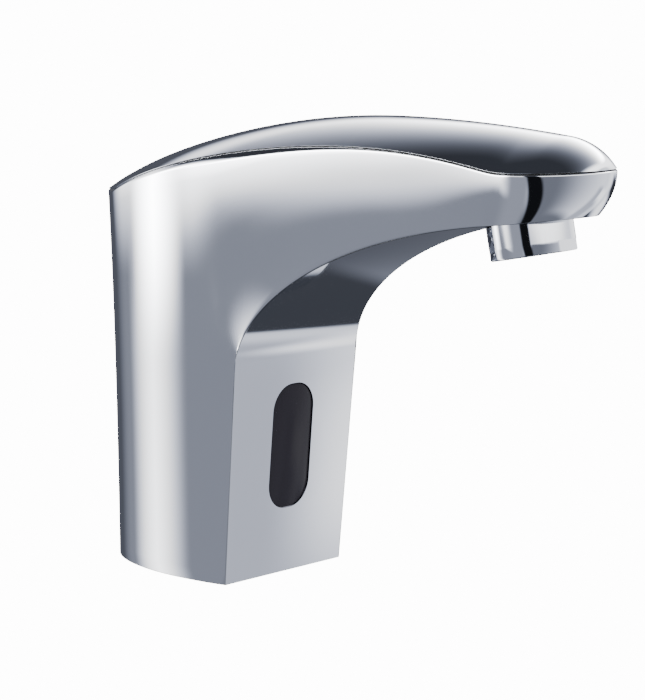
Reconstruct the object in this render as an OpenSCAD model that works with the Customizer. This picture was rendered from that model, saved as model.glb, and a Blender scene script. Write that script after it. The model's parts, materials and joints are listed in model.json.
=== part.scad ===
// Touch-free basin tap: a cast column that sweeps into a crowned spout, with the sensor, the battery,
// the control board and the solenoid valve inside. Origin: centre of the inlet's mouth on the deck.
// +X runs forward along the spout, +Z is up. Millimetres.

/* [Column] */
// Depth of the base, from the back to the front panel
base_depth = 67.7; // [66:0.1:70]
// Width of the base at its widest
base_w = 58.8; // [58:0.1:61]
// Distance of the widest place behind the front panel
widest_back = 13.5; // [12:0.5:15]
// How far the back wall flares out at the top
back_flare = 3.3; // [2.5:0.1:4]
// How far each side wall flares out at the top
side_flare = 1.6; // [1:0.1:2]
// Height of the flat front panel
panel_h = 72.2; // [71:0.1:74]
// Half width of the panel at its top
panel_top_hw = 30.1; // [29.6:0.1:30.5]
// Forward lean of the panel, in degrees
lean = 4.8; // [4:0.1:5.5]
// Wall of the casting
wall = 3; // [2.6:0.1:3.2]

/* [Spout] */
// Where the underside arc ends, forward of the origin
chin_x = 130.4; // [128:0.2:132]
// Height of the underside there
chin_z = 120.8; // [119.5:0.1:122]
// Rise of the underside per millimetre forward
chin_slope = 0.116; // [0.1:0.002:0.13]
// Half width of the underside at the chin, and radius of its nose
chin_r = 20.4; // [19.8:0.1:21]
// Centre of the nose round at the top edge
nose_x = 137.4; // [136:0.2:139]
// Radius of the nose at the top edge
nose_r = 22; // [21.5:0.1:23]
// Pull of the underside arc at the panel
arc_pull_low = 19; // [16:1:22]
// Pull of the underside arc at the chin
arc_pull_high = 60; // [56:1:64]

/* [Crown] */
// Place of the crown's highest point, forward of the origin
crown_x = 82; // [80:1:84]
// Height of the crown
crown_z = 151; // [150:0.2:152]
// Radius of the crown line behind its highest point
crown_back_r = 272; // [262:1:282]
// Radius of the crown line in front of it
crown_front_r = 550; // [500:10:600]
// Height of the seam under the crown's highest point
seam_z = 142.8; // [142:0.1:143.4]
// Radius of the seam behind there
seam_back_r = 286; // [280:1:292]
// Radius of the seam in front of there
seam_front_r = 227; // [221:1:233]
// Height of the seam at the back
tail_z = 123.4; // [122.8:0.1:124]
// Height of the seam at the nose
nose_z = 136.9; // [136.4:0.1:137.4]
// Thickness of the cover
cover_t = 2.5; // [2.3:0.1:2.8]
// Width of the ledge that carries the cover
ledge_w = 1.8; // [1.6:0.1:2]
// Gap of the seam, filled by its gasket
seam_gap = 0.5; // [0.4:0.05:0.6]
// Height of the soft edge band below the seam, where it is widest
band_max = 2.1; // [1.6:0.1:2.4]

/* [Sensor] */
// Height of the window's centre, measured along the panel
window_up = 42.4; // [41:0.1:44]
// Width of the window
window_w = 19.2; // [18:0.1:20]
// Height of the window
window_h = 41; // [39:0.5:43]
// Corner radius of the window
window_r = 8.4; // [7:0.1:9]
// Depth of the sensor housing behind its lens
housing_d = 10; // [9:0.1:10.6]

/* [Outlet] */
// Centre of the outlet on the underside, forward of the origin
outlet_x = 132.3; // [131:0.1:133]
// Forward tilt of the water stream, in degrees
outlet_tilt = 11.2; // [9:0.1:13]
// Outer diameter of the aerator housing
aerator_d = 26.5; // [26:0.1:27]
// Length of the aerator housing that shows
aerator_show = 10.4; // [9.5:0.1:11.5]
// Diameter of the aerator thread
thread_d = 24; // [23.6:0.1:24.2]
// Distance across the aerator's spanner flats
flats_w = 23; // [22.6:0.1:23.6]
// Height of the spanner flats
flats_h = 3.4; // [3:0.1:4]
// Turn of the flats about the stream, in degrees
flats_turn = 12; // [0:1:30]

/* [Water way] */
// Wall radius of the inlet socket for a threaded tail hose
inlet_r = 4.5; // [4.2:0.05:4.8]
// Depth of the inlet socket
inlet_depth = 11; // [10:0.5:11]
// Wall radius of the two stud sockets
stud_r = 2.5; // [2.4:0.05:2.8]
// Distance between the two stud sockets
stud_gap = 24; // [23:0.5:26]
// Outer radius of the valve
valve_r = 15; // [14.8:0.1:15.2]
// Lift of the plunger
plunger_lift = 2.4; // [2:0.1:2.8]
// Lift of the diaphragm
diaphragm_lift = 1.2; // [1:0.1:1.4]
// Outer radius of the outlet tube
tube_r = 4; // [3.8:0.1:4.1]

/* [Power] */
// Width of the battery box along the tap
battery_box_w = 39; // [38:0.5:39]
// Height of the battery box
battery_box_h = 40; // [39:0.5:42]
// Depth of the battery box across the tap
battery_box_d = 23; // [22.5:0.1:24]

/* [Hidden] */
$fn = 64;
eps = 0.01;
// Clearance of fixed pieces that slot into each other
snug = 0.05;
chrome = [0.8, 0.81, 0.84];
rubber = [0.1, 0.1, 0.1];
brass = [0.78, 0.63, 0.3];
steel = [0.62, 0.63, 0.65];
black = [0.07, 0.07, 0.08];
white = [0.86, 0.86, 0.84];
green = [0.08, 0.33, 0.18];

// Plan of the base
panel_x = base_depth / 2;
wide_x = panel_x - widest_back;
back_a = base_depth - widest_back;
half_w = base_w / 2;
panel_top = [panel_x + panel_h * tan(lean), panel_h];

// Stations along the body: back, side, panel, arc and nose
n_back = 12;
n_side = 2;
n_panel = 3;
n_arc = 12;
n_nose = 9;
i_corner = n_back + n_side;
i_arc = i_corner + n_panel;
i_chin = i_arc + n_arc;
n_all = i_chin + n_nose;
rows_out = 6;
rows_in = 4;
rows_cover = 12;

function mix(a, b, t) = a + (b - a) * t;
function ease(t) = t * t * (3 - 2 * t);
function blend_max(a, b, e) = (a + b) / 2 + sqrt(pow((a - b) / 2, 2) + e * e);
function unit(v) = v / norm(v);

// Underside arc in the XZ plane: a cubic curve from the panel's top to the chin
arc_p = [panel_top,
    panel_top + arc_pull_low * [sin(lean), cos(lean)],
    [chin_x, chin_z] - arc_pull_high * unit([1, chin_slope]),
    [chin_x, chin_z]];
function arc_at(t) = pow(1 - t, 3) * arc_p[0] + 3 * pow(1 - t, 2) * t * arc_p[1]
    + 3 * (1 - t) * t * t * arc_p[2] + pow(t, 3) * arc_p[3];
function arc_dir(t) = unit(pow(1 - t, 2) * (arc_p[1] - arc_p[0])
    + 2 * (1 - t) * t * (arc_p[2] - arc_p[1]) + t * t * (arc_p[3] - arc_p[2]));
function under_z(x) = chin_z + chin_slope * (x - chin_x);
chin_c = nose_x - (nose_r - chin_r) - 3;

// Lower edge of the near side at station i, moved inwards by g: [x, half width, z]
function low_back(i, g) = let(a = 90 * i / n_back)
    [wide_x - (back_a - g) * cos(a), (half_w - g) * sin(a), 0];
function side_hw(x) = half_w * sqrt(1 - pow((x - wide_x) / back_a, 2));
function low_side(i, g) = let(x = mix(wide_x, panel_x - g / cos(lean), (i - n_back) / n_side))
    [x, side_hw(x) - g, 0];
function low_panel(i, g) = let(f = (i - i_corner) / n_panel, z = f * (panel_h + g * sin(lean)))
    [panel_x + z * tan(lean) - g / cos(lean), mix(side_hw(panel_x), panel_top_hw, f) - g, z];
function low_arc(i, g) = let(t = (i - i_arc) / n_arc, p = arc_at(t), d = arc_dir(t))
    [p[0] - g * d[1], mix(panel_top_hw, chin_r, t) - g, p[1] + g * d[0]];
function low_nose(i, g) = let(a = 90 * (i - i_chin - 1) / (n_nose - 1), x = chin_c + (chin_r - g) * sin(a))
    [x, (chin_r - g) * cos(a), under_z(x) + g * norm([1, chin_slope])];
function low(i, g) = i <= n_back ? low_back(i, g) : i <= i_corner ? low_side(i, g)
    : i <= i_arc ? low_panel(i, g) : i <= i_chin ? low_arc(i, g) : low_nose(i, g);

// Top outline of the side walls: [x, half width]
function spread(i) = let(p = low(i, 0)) p[0] + 0.2 * p[2];
top_step = (nose_x - wide_x) / (spread(i_chin + 1) - wide_x);
function crest_mid(i) = let(x = wide_x + top_step * (spread(i) - wide_x))
    [x, mix(half_w + side_flare, nose_r, ease((x - wide_x) / (nose_x - wide_x)))];
function crest_at(i) = let(a = 90 * i / n_back, b = 90 * (i - i_chin - 1) / (n_nose - 1))
    i <= n_back ? [wide_x - (back_a + back_flare) * cos(a), (half_w + side_flare) * sin(a)]
    : i <= i_chin ? crest_mid(i) : [nose_x + nose_r * sin(b), nose_r * cos(b)];
crest = [for (i = [0:n_all]) crest_at(i)];
function flip(p) = [p[0], -p[1]];
function inward(list, i) = let(n = len(list) - 1,
    d = unit((i == n ? flip(list[n - 1]) : list[i + 1]) - (i == 0 ? flip(list[1]) : list[i - 1])))
    [d[1], -d[0]];

// Seam, edge band and crown
function seam_h(x) = x < crown_x
    ? blend_max(seam_z - pow(x - crown_x, 2) / (2 * seam_back_r), tail_z, 0.6)
    : blend_max(seam_z - pow(x - crown_x, 2) / (2 * seam_front_r), nose_z + 0.035 * (x - nose_x), 0.5);
band_min = 0.3;
band_x = panel_x + 1.5;
band_run = 38;
function band(x) = mix(band_min, band_max, exp(-pow((x - band_x) / band_run, 2)));
seam = [for (i = [0:n_all]) crest[i] + 0.6 * band(crest[i][0]) * inward(crest, i)];
ledge = [for (i = [0:n_all]) seam[i] + ledge_w * inward(seam, i)];
back_tip = seam[0][0];
nose_tip = seam[n_all][0];
round_back = 12;
round_nose = 14;
function end_round(x) = x < back_tip + round_back ? sqrt(max(0, 1 - pow((back_tip + round_back - x) / round_back, 2)))
    : x > nose_tip - round_nose ? sqrt(max(0, 1 - pow((x - nose_tip + round_nose) / round_nose, 2))) : 1;
function crown_h(x) = crown_z - pow(x - crown_x, 2) / (2 * (x < crown_x ? crown_back_r : crown_front_r));
function rise(x) = (crown_h(x) - seam_h(x)) * end_round(x);
lip_drop = 1.6;

// One wall point at height share t between a lower edge point and a top point
function wall_at(i, a, b, t) = [
    i <= n_back ? mix(a[0], b[0], pow(t, 2.5)) : i <= i_chin ? mix(a[0], b[0], t)
        : b[0] - (b[0] - a[0]) * pow(1 - t, 2),
    b[1] - (b[1] - a[1]) * pow(1 - t, 2),
    mix(a[2], b[2], t)];
function crease_3d(i) = let(x = crest[i][0]) [x, crest[i][1], seam_h(seam[i][0]) - seam_gap - band(x)];
function seam_3d(i, drop) = [seam[i][0], seam[i][1], seam_h(seam[i][0]) - drop];
function ledge_3d(i, drop) = [ledge[i][0], ledge[i][1], seam_h(seam[i][0]) - lip_drop - drop];
function path(i) = concat(
    [for (t = [0:rows_out]) wall_at(i, low(i, 0), crease_3d(i), t / rows_out)],
    [seam_3d(i, seam_gap), ledge_3d(i, seam_gap)],
    [for (t = [1:rows_in]) wall_at(i, low(i, wall), ledge_3d(i, seam_gap), 1 - t / rows_in)]);
n_path = rows_out + rows_in + 3;
n_ring = 2 * n_all;

function quad(a, b, c, d) = [[a, b, c], [a, c, d]];
function joined(lists) = [for (l = lists) for (f = l) f];

// The casting without its bosses and bores
module shell_form() {
    half = [for (i = [0:n_all]) path(i)];
    points = [for (k = [0:n_ring - 1]) let(i = k <= n_all ? k : n_ring - k, s = k <= n_all ? -1 : 1)
        for (p = half[i]) [p[0], s * p[1], p[2]]];
    function at(k, j) = ((k + n_ring) % n_ring) * n_path + j;
    last = n_path - 1;
    sides = [for (k = [0:n_ring - 1]) for (j = [0:last - 1])
        each quad(at(k, j), at(k, j + 1), at(k + 1, j + 1), at(k + 1, j))];
    foot = [for (k = [-i_corner:i_corner - 1]) each quad(at(k, 0), at(k + 1, 0), at(k + 1, last), at(k, last))];
    foot_front = quad(at(i_corner, 0), at(-i_corner, 0), at(-i_corner, last), at(i_corner, last));
    front = [for (i = [i_corner:n_all - 2]) each quad(at(i, 0), at(i + 1, 0), at(-i - 1, 0), at(-i, 0))];
    front_tip = [[at(n_all - 1, 0), at(n_all, 0), at(n_all + 1, 0)]];
    inner = [for (i = [i_corner:n_all - 2])
        each quad(at(-i, last), at(-i - 1, last), at(i + 1, last), at(i, last))];
    inner_tip = [[at(n_all + 1, last), at(n_all, last), at(n_all - 1, last)]];
    polyhedron(points, concat(sides, foot, foot_front, front, front_tip, inner, inner_tip), convexity = 10);
}

// A lens-shaped sheet over the ledge: its top, its underside and the band between them
module cover_form() {
    m = rows_cover;
    arch = [for (j = [0:m]) sin(-90 + 180 * j / m)];
    function top_pt(i, j) = let(x = seam[i][0])
        [x, seam[i][1] * arch[j], seam_h(x) + rise(x) * (1 - pow(arch[j], 2))];
    function under_pt(i, j) = let(x = seam[i][0])
        [ledge[i][0], ledge[i][1] * arch[j],
            seam_h(x) - lip_drop + max(0, rise(x) - cover_t + lip_drop) * (1 - pow(arch[j], 2))];
    loop = 2 * (m + 1);
    rings = [for (i = [1:n_all - 1]) each concat(
        [for (j = [0:m]) top_pt(i, j)], [for (j = [m:-1:0]) under_pt(i, j)])];
    ends = [top_pt(0, 0), under_pt(0, 0), top_pt(n_all, 0), under_pt(n_all, 0)];
    e = (n_all - 1) * loop;
    function at(i, j) = (i - 1) * loop + (j + loop) % loop;
    skin = [for (i = [1:n_all - 2]) for (j = [0:loop - 1])
        each quad(at(i, j), at(i, j + 1), at(i + 1, j + 1), at(i + 1, j))];
    q = n_all - 1;
    back = concat([for (j = [0:m - 1]) [e, at(1, j + 1), at(1, j)]],
        [for (j = [m + 1:loop - 2]) [e + 1, at(1, j + 1), at(1, j)]],
        quad(e, e + 1, at(1, m + 1), at(1, m)), quad(e + 1, e, at(1, 0), at(1, loop - 1)));
    nose = concat([for (j = [0:m - 1]) [e + 2, at(q, j), at(q, j + 1)]],
        [for (j = [m + 1:loop - 2]) [e + 3, at(q, j), at(q, j + 1)]],
        quad(e + 3, e + 2, at(q, m), at(q, m + 1)), quad(e + 2, e + 3, at(q, loop - 1), at(q, 0)));
    polyhedron(concat(rings, ends), concat(skin, back, nose), convexity = 6);
}

// Seal strip between the ledge and the cover, set back from the seam
gasket_back = 0.4;
gasket_play = 0.03;
module gasket_form() {
    f = gasket_back / ledge_w;
    function ring_pts(i, s) = let(d = gasket_play, g = seam_gap - gasket_play,
        a = mix(seam_3d(i, 0), ledge_3d(i, 0), f), b = ledge_3d(i, 0))
        [for (p = [a - [0, 0, d], b - [0, 0, d], b - [0, 0, g], a - [0, 0, g]]) [p[0], s * p[1], p[2]]];
    points = [for (k = [0:n_ring - 1]) each ring_pts(k <= n_all ? k : n_ring - k, k <= n_all ? -1 : 1)];
    polyhedron(points, [for (k = [0:n_ring - 1]) for (j = [0:3]) let(n = (k + 1) % n_ring, h = (j + 1) % 4)
        each quad(4 * k + j, 4 * k + h, 4 * n + h, 4 * n + j)], convexity = 10);
}

// Frames of the panel and of the outlet
module on_panel() translate([panel_x, 0, 0]) rotate([0, lean, 0]) children();
module on_outlet() translate([outlet_x, 0, under_z(outlet_x)]) rotate([0, -outlet_tilt, 0]) children();
module ring(r_out, r_in, h) difference() {
    cylinder(r = r_out, h = h);
    translate([0, 0, -1]) cylinder(r = r_in, h = h + 2);
}

// Rounded slot of the window, extruded along X
module slot(w, h, r, x0, x1) translate([x0, 0, 0]) {
    for (y = [-1, 1]) for (z = [-1, 1]) translate([0, y * (w / 2 - r), z * (h / 2 - r)])
        rotate([0, 90, 0]) cylinder(r = r, h = x1 - x0);
    translate([0, -w / 2 + r, -h / 2]) cube([x1 - x0, w - 2 * r, h]);
    translate([0, -w / 2, -h / 2 + r]) cube([x1 - x0, w, h - 2 * r]);
}

// Sensor depths behind the panel's outer face
lens_sink = 0.3;
seal_t = 0.8;
lens_flange = 1.5;
flange_rim = 2;
lens_back = wall + seal_t + lens_flange;
housing_wall = 1.4;
housing_w = window_w + 2 * flange_rim;
housing_h = window_h + 2 * flange_rim;
housing_back = lens_back + housing_d;
back_t = 1.5;
board_t = 1.6;
ear_l = 8;
ear_up = housing_h / 2 + ear_l / 2;
ear_t = 3;
sensor_boss_r = 3.4;
screw_r = 1.25;

// Base
base_sink = 2;
base_t = 6;
base_top = base_sink + base_t;
boss_r = 4.5;
boss_h = 12;
base_screw_r = 1.6;
front_boss = [wide_x + 3.5, half_w - wall - 3.6];
back_boss_x = wide_x - back_a + wall + 3.8;
base_boss_at = [[back_boss_x, 0], front_boss, [front_boss[0], -front_boss[1]]];

// Outlet
skirt_in = 1.4;
thread_r = thread_d / 2;
thread_l = 7.6;
washer_t = 1.2;
boss_top = 13.4;
outlet_boss_r = 16;
adapter_flange_t = 2;
adapter_head_r = 6.5;
adapter_head_h = 8;
adapter_screw_at = 14;
adapter_screw_r = 0.9;

// Cover fixings
peg_r = 3;
peg_at = [95, -9];
peg_low = 122;
peg_boss_top = 128;
peg_boss_r = 5.5;
tab_w = 10;
tab_t = 3.6;
tab_low = 108;
tab_screw_z = 113.5;
cover_screw_r = 1.9;
tab_x = wide_x - back_a - back_flare + wall + 1.2;

module body_shell() color(chrome) difference() {
    union() {
        shell_form();
        for (p = base_boss_at) translate([p[0], p[1], base_top]) cylinder(r = boss_r, h = boss_h);
        on_outlet() translate([0, 0, skirt_in + 0.6]) cylinder(r = outlet_boss_r, h = boss_top - skirt_in - 0.6);
        on_panel() for (s = [-1, 1]) translate([-wall - ear_boss_l, 0, window_up + s * ear_up])
            rotate([0, 90, 0]) cylinder(r = sensor_boss_r, h = ear_boss_l + 1);
        translate([peg_at[0], peg_at[1], peg_boss_low]) cylinder(r = peg_boss_r, h = peg_boss_top - peg_boss_low);
    }
    on_outlet() translate([0, 0, -10]) cylinder(r = aerator_d / 2 + 0.2, h = 10 + skirt_in + 0.1);
    on_outlet() translate([0, 0, 0]) cylinder(r = thread_r + snug, h = boss_top + 4);
    on_outlet() for (s = [-1, 1]) translate([0, s * adapter_screw_at, boss_top - 6])
        cylinder(r = adapter_screw_r, h = 10);
    on_panel() translate([0, 0, window_up]) slot(window_w, window_h, window_r, -wall - 2, 2);
    on_panel() for (s = [-1, 1]) translate([-wall - ear_boss_l - 1, 0, window_up + s * ear_up])
        rotate([0, 90, 0]) cylinder(r = screw_r, h = ear_boss_l + 1.5);
    for (p = base_boss_at) translate([p[0], p[1], base_top - 1]) cylinder(r = base_screw_r, h = boss_h);
    translate([peg_at[0], peg_at[1], peg_low - 1]) cylinder(r = peg_r + 0.1, h = peg_boss_top);
    translate([tab_x - 14, 0, tab_screw_z]) rotate([0, 90, 0]) cylinder(r = cover_screw_r + 0.1, h = 13.5);
}
ear_boss_l = lens_back - wall + housing_d - ear_t;
peg_boss_low = 118;

module top_cover() color(chrome) difference() {
    union() {
        cover_form();
        translate([peg_at[0], peg_at[1], peg_low]) cylinder(r = peg_r, h = crown_h(peg_at[0]) - peg_low - 3);
        translate([tab_x, -tab_w / 2, tab_low]) cube([tab_t, tab_w, tail_z + 1.5 - tab_low]);
    }
    translate([tab_x - 1, 0, tab_screw_z]) rotate([0, 90, 0]) cylinder(r = cover_screw_r + 0.02, h = tab_t + 2);
    translate([peg_at[0], peg_at[1], peg_groove_z]) ring(peg_r + 1, peg_r - 0.8, 1.4);
}
peg_groove_z = 125;

module cover_gasket() color(rubber) gasket_form();

// Grub screw that draws the cover's rear tab tight
module cover_screw() color(steel) translate([tab_x - 4.2, 0, tab_screw_z]) rotate([0, 90, 0]) difference() {
    cylinder(r = cover_screw_r, h = 4.2 + tab_t);
    translate([0, 0, -1]) cylinder(r = 1.15, h = 3.2, $fn = 6);
}

module peg_ring() color(rubber) translate([peg_at[0], peg_at[1], peg_groove_z + 0.05])
    ring(peg_r + 0.08, peg_r - 0.78, 1.3);

module sensor_window() color(black) on_panel() translate([0, 0, window_up]) {
    slot(window_w - 0.2, window_h - 0.2, window_r - 0.1, -wall - seal_t - 0.1, -lens_sink);
    slot(housing_w, housing_h, window_r + flange_rim, -lens_back, -wall - seal_t);
}

module window_gasket() color(rubber) on_panel() translate([0, 0, window_up]) difference() {
    slot(housing_w, housing_h, window_r + flange_rim, -wall - seal_t, -wall);
    slot(window_w + 0.2, window_h + 0.2, window_r + 0.1, -wall - seal_t - 1, 1);
}

module sensor_housing() color(black) on_panel() translate([0, 0, window_up]) difference() {
    union() {
        difference() {
            slot(housing_w, housing_h, window_r + flange_rim, -housing_back, -lens_back);
            slot(housing_w - 2 * housing_wall, housing_h - 2 * housing_wall, window_r + flange_rim - housing_wall,
                -housing_back - 1, 1);
        }
        translate([-housing_back + board_t + 0.3, -housing_w / 2 + 0.7, -0.6])
            cube([housing_d - board_t - 0.3, housing_w - 1.4, 1.2]);
        for (s = [-1, 1]) translate([-housing_back, -4, s > 0 ? housing_h / 2 - 0.8 : -housing_h / 2 - ear_l])
            cube([ear_t, 8, ear_l + 0.8]);
    }
    for (s = [-1, 1]) translate([-housing_back - 1, 0, s * ear_up]) rotate([0, 90, 0])
        cylinder(r = screw_r + 0.25, h = ear_t + 2);
}

module sensor_board() color(green) on_panel() translate([0, 0, window_up]) difference() {
    slot(housing_w - 2 * housing_wall - 0.3, housing_h - 2 * housing_wall - 0.3, window_r + flange_rim - housing_wall - 0.15,
        -housing_back, -housing_back + board_t);
    translate([-housing_back - 1, 0, 0]) rotate([0, 90, 0]) cylinder(r = 1.2, h = board_t + 2);
}

// Round-nosed diode standing on the sensor board
module diode(r, up, side) on_panel() translate([-housing_back + board_t, side, window_up + up]) rotate([0, 90, 0]) {
    cylinder(r = r + 0.5, h = 1);
    cylinder(r = r, h = housing_d - board_t - r - 0.8);
    translate([0, 0, housing_d - board_t - r - 0.8]) sphere(r = r);
}
module ir_emitter() color([0.35, 0.3, 0.45]) diode(2.5, 10.5, 0);
module ir_receiver() color([0.2, 0.18, 0.2]) diode(2.5, -10.5, 0);
module status_led() color([0.8, 0.1, 0.1]) diode(1.5, -3.6, 4);

module sensor_back() color(black) on_panel() translate([0, 0, window_up]) difference() {
    slot(housing_w, housing_h, window_r + flange_rim, -housing_back - back_t, -housing_back);
    translate([-housing_back - back_t - 1, 0, -14]) rotate([0, 90, 0]) cylinder(r = lead_r + 0.1, h = back_t + 2);
}

// Cap screw with its head at z 0 and its shank along +Z
module screw(shank_r, shank_l, head_r, head_h, socket_r) difference() {
    union() {
        translate([0, 0, -head_h]) cylinder(r = head_r, h = head_h);
        translate([0, 0, -eps]) cylinder(r = shank_r, h = shank_l + eps);
    }
    translate([0, 0, -head_h - 1]) cylinder(r = socket_r, h = 1 + head_h * 0.6, $fn = 6);
}

module sensor_screws() color(steel) on_panel() for (s = [-1, 1])
    translate([-housing_back, 0, window_up + s * ear_up]) rotate([0, 90, 0])
        screw(screw_r - 0.05, ear_t + 6, 2.3, 1.6, 1);

// Outline of a plate that fits the inside of the column, set in by g
function plate_outline(g) = let(near = [for (i = [0:i_corner]) low(i, wall + g)])
    concat([for (p = near) [p[0], -p[1]]], [for (i = [i_corner:-1:1]) [near[i][0], near[i][1]]]);

module base_plate() color(brass) difference() {
    translate([0, 0, base_sink]) linear_extrude(height = base_t) polygon(plate_outline(0.3));
    translate([0, 0, -1]) cylinder(r = fitting_r + snug, h = base_top + 2);
    for (s = [-1, 1]) translate([0, s * stud_gap / 2, base_sink - 1]) cylinder(r = stud_r, h = base_t + 2);
    for (p = base_boss_at) translate([p[0], p[1], 0]) {
        cylinder(r = base_screw_r + 0.2, h = base_top + 1);
        cylinder(r = 3.2, h = base_sink + 2.6);
    }
    for (p = post_at) translate([p[0], p[1], 0]) {
        cylinder(r = screw_r + 0.2, h = base_top + 1);
        cylinder(r = 2.4, h = base_sink + 1.8);
    }
}
fitting_r = 7;

module base_screws() color(steel) for (p = base_boss_at) translate([p[0], p[1], base_sink + 2.6])
    screw(base_screw_r - 0.05, base_t - 2.6 + 9, 2.9, 2.2, 1.3);

module base_gasket() color(rubber) linear_extrude(height = base_sink) difference() {
    polygon(plate_outline(0.3));
    polygon(plate_outline(3));
}

// Inlet, valve and solenoid, one above the other on the origin's axis
hex_r = 9;
hex_h = 4;
spigot_r = 5;
spigot_h = 4;
way_r = 3;
valve_z = base_top + hex_h;
valve_h = 23;
valve_top = valve_z + valve_h;
chamber_r = 9.5;
chamber_floor = valve_z + 16;
seat_r = 5;
seat_top = valve_top - 1.5;
port_r = 3;
port_z = valve_z + 11.2;
rim_t = 1.5;
bonnet_z = valve_top + rim_t;
insert_top = seat_top + 2.7;
// The bonnet leaves room above the insert for its lift
bonnet_h = insert_top + diaphragm_lift + 3.6 - bonnet_z;
guide_r = 6;
plunger_r = 4;
plunger_low = insert_top + 1;
plunger_top = plunger_low + 15;
guide_top = plunger_top + plunger_lift + 6;
cap_t = 2;
outlet_turn = 78;
riser_at = valve_r + tube_r + 0.8;
valve_screw_turn = 50;
valve_screw_at = 12.9;
coil_r = 11.4;
coil_low = bonnet_z + bonnet_h;
yoke_t = 1.6;
yoke_w = 14;
coil_h = 15;

module inlet_fitting() color(brass) difference() {
    union() {
        cylinder(r = fitting_r, h = base_top);
        translate([0, 0, base_top]) cylinder(r = hex_r, h = hex_h, $fn = 6);
        cylinder(r = spigot_r, h = valve_z + spigot_h);
    }
    translate([0, 0, -1]) cylinder(r = inlet_r, h = inlet_depth + 1);
    cylinder(r = filter_r + snug, h = inlet_depth + filter_t);
    cylinder(r = way_r, h = valve_z + spigot_h + 1);
    translate([0, 0, valve_z + 1]) ring(spigot_r + 1, spigot_r - 0.8, 1.6);
}
filter_r = 3.7;
filter_t = 1.2;
module inlet_filter() color(steel) translate([0, 0, inlet_depth]) difference() {
    cylinder(r = filter_r, h = filter_t);
    for (a = [0:60:300]) rotate([0, 0, a]) translate([2.1, 0, -1]) cylinder(r = 0.5, h = 4);
    translate([0, 0, -1]) cylinder(r = 0.5, h = 4);
}
module inlet_o_ring() color(rubber) translate([0, 0, valve_z + 1.1]) ring(spigot_r, spigot_r - 0.75, 1.4);

module valve_body() color(white) difference() {
    translate([0, 0, valve_z]) cylinder(r = valve_r, h = valve_h);
    translate([0, 0, valve_z - 1]) cylinder(r = spigot_r + snug, h = spigot_h + 1.4);
    translate([-chamber_r + 2.2, 0, valve_z + 3]) cylinder(r = 1.7, h = chamber_floor - valve_z);
    translate([-chamber_r + 2.2, 0, valve_z + spigot_h + 0.4]) rotate([0, 90, 0]) cylinder(r = 1.7, h = 7);
    translate([0, 0, chamber_floor]) ring(chamber_r, seat_r, valve_h);
    translate([0, 0, seat_top]) cylinder(r = chamber_r, h = valve_h);
    translate([0, 0, port_z]) cylinder(r = port_r + 0.2, h = valve_h);
    rotate([0, 0, outlet_turn]) translate([0, 0, port_z]) rotate([0, 90, 0]) {
        cylinder(r = port_r, h = valve_r + 1);
        translate([0, 0, valve_r - 4]) cylinder(r = 4.5 + snug, h = 6);
    }
    for (s = [-1, 1]) for (a = [-1, 1]) rotate([0, 0, a * valve_screw_turn]) translate([s * valve_screw_at, 0, valve_top - 7])
        cylinder(r = screw_r - 0.1, h = 10);
}

// Rolling rubber ring: clamped at its rim, carried at its inner edge by the insert
module diaphragm() color(rubber) rotate_extrude() polygon([
    [chamber_r - 0.1, valve_top], [chamber_r + 2, valve_top], [chamber_r + 2, bonnet_z], [chamber_r - 0.1, bonnet_z],
    [seat_r + 0.9, seat_top + 1.6], [seat_r + 0.5, seat_top + 1.6], [seat_r + 0.5, seat_top + 0.7],
    [seat_r + 1.2, seat_top + 0.7]]);
module diaphragm_insert() color(white) translate([0, 0, seat_top]) difference() {
    cylinder(r = seat_r + 0.4, h = insert_top - seat_top);
    translate([0, 0, -1]) cylinder(r = 0.6, h = 6);
    translate([0, 0, -1]) cylinder(r = port_r - 0.2, h = 1.8);
}
module valve_bonnet() color(white) difference() {
    union() {
        translate([0, 0, bonnet_z]) cylinder(r = valve_r, h = bonnet_h);
        translate([0, 0, bonnet_z]) cylinder(r = guide_r, h = guide_top + cap_t - bonnet_z);
    }
    translate([0, 0, bonnet_z - 1]) cylinder(r = chamber_r - 0.6, h = bonnet_h);
    translate([0, 0, bonnet_z - 1]) cylinder(r = plunger_r + 0.05, h = guide_top - bonnet_z + 1);
    for (s = [-1, 1]) for (a = [-1, 1]) rotate([0, 0, a * valve_screw_turn])
        translate([s * valve_screw_at, 0, bonnet_z - 1]) cylinder(r = screw_r + 0.1, h = bonnet_h + 2);
}
module valve_screws() color(steel) for (s = [-1, 1]) for (a = [-1, 1]) rotate([0, 0, a * valve_screw_turn])
    translate([s * valve_screw_at, 0, coil_low]) rotate([180, 0, 0])
        screw(screw_r - 0.15, bonnet_h + rim_t + 6, 2, 1.5, 0.9);
module plunger() color(steel) difference() {
    translate([0, 0, plunger_low]) cylinder(r = plunger_r, h = plunger_top - plunger_low);
    translate([0, 0, plunger_top - 4]) cylinder(r = 3.3, h = 5);
}
module plunger_seal() color(rubber) translate([0, 0, insert_top]) cylinder(r = 2, h = plunger_low - insert_top);
module plunger_spring() color(steel) translate([0, 0, plunger_top - 4]) ring(3.1, 2.3, guide_top - plunger_top + 4);
module coil_bobbin() color(black) translate([0, 0, coil_low + yoke_t]) {
    ring(guide_r + 1, guide_r + 0.05, coil_h);
    ring(coil_r + 0.4, guide_r + 0.9, 1.2);
    translate([0, 0, coil_h - 1.2]) ring(coil_r + 0.4, guide_r + 0.9, 1.2);
}
module coil_winding() color([0.65, 0.35, 0.15]) translate([0, 0, coil_low + yoke_t + 1.25])
    ring(coil_r, guide_r + 1.05, coil_h - 2.5);
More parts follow.
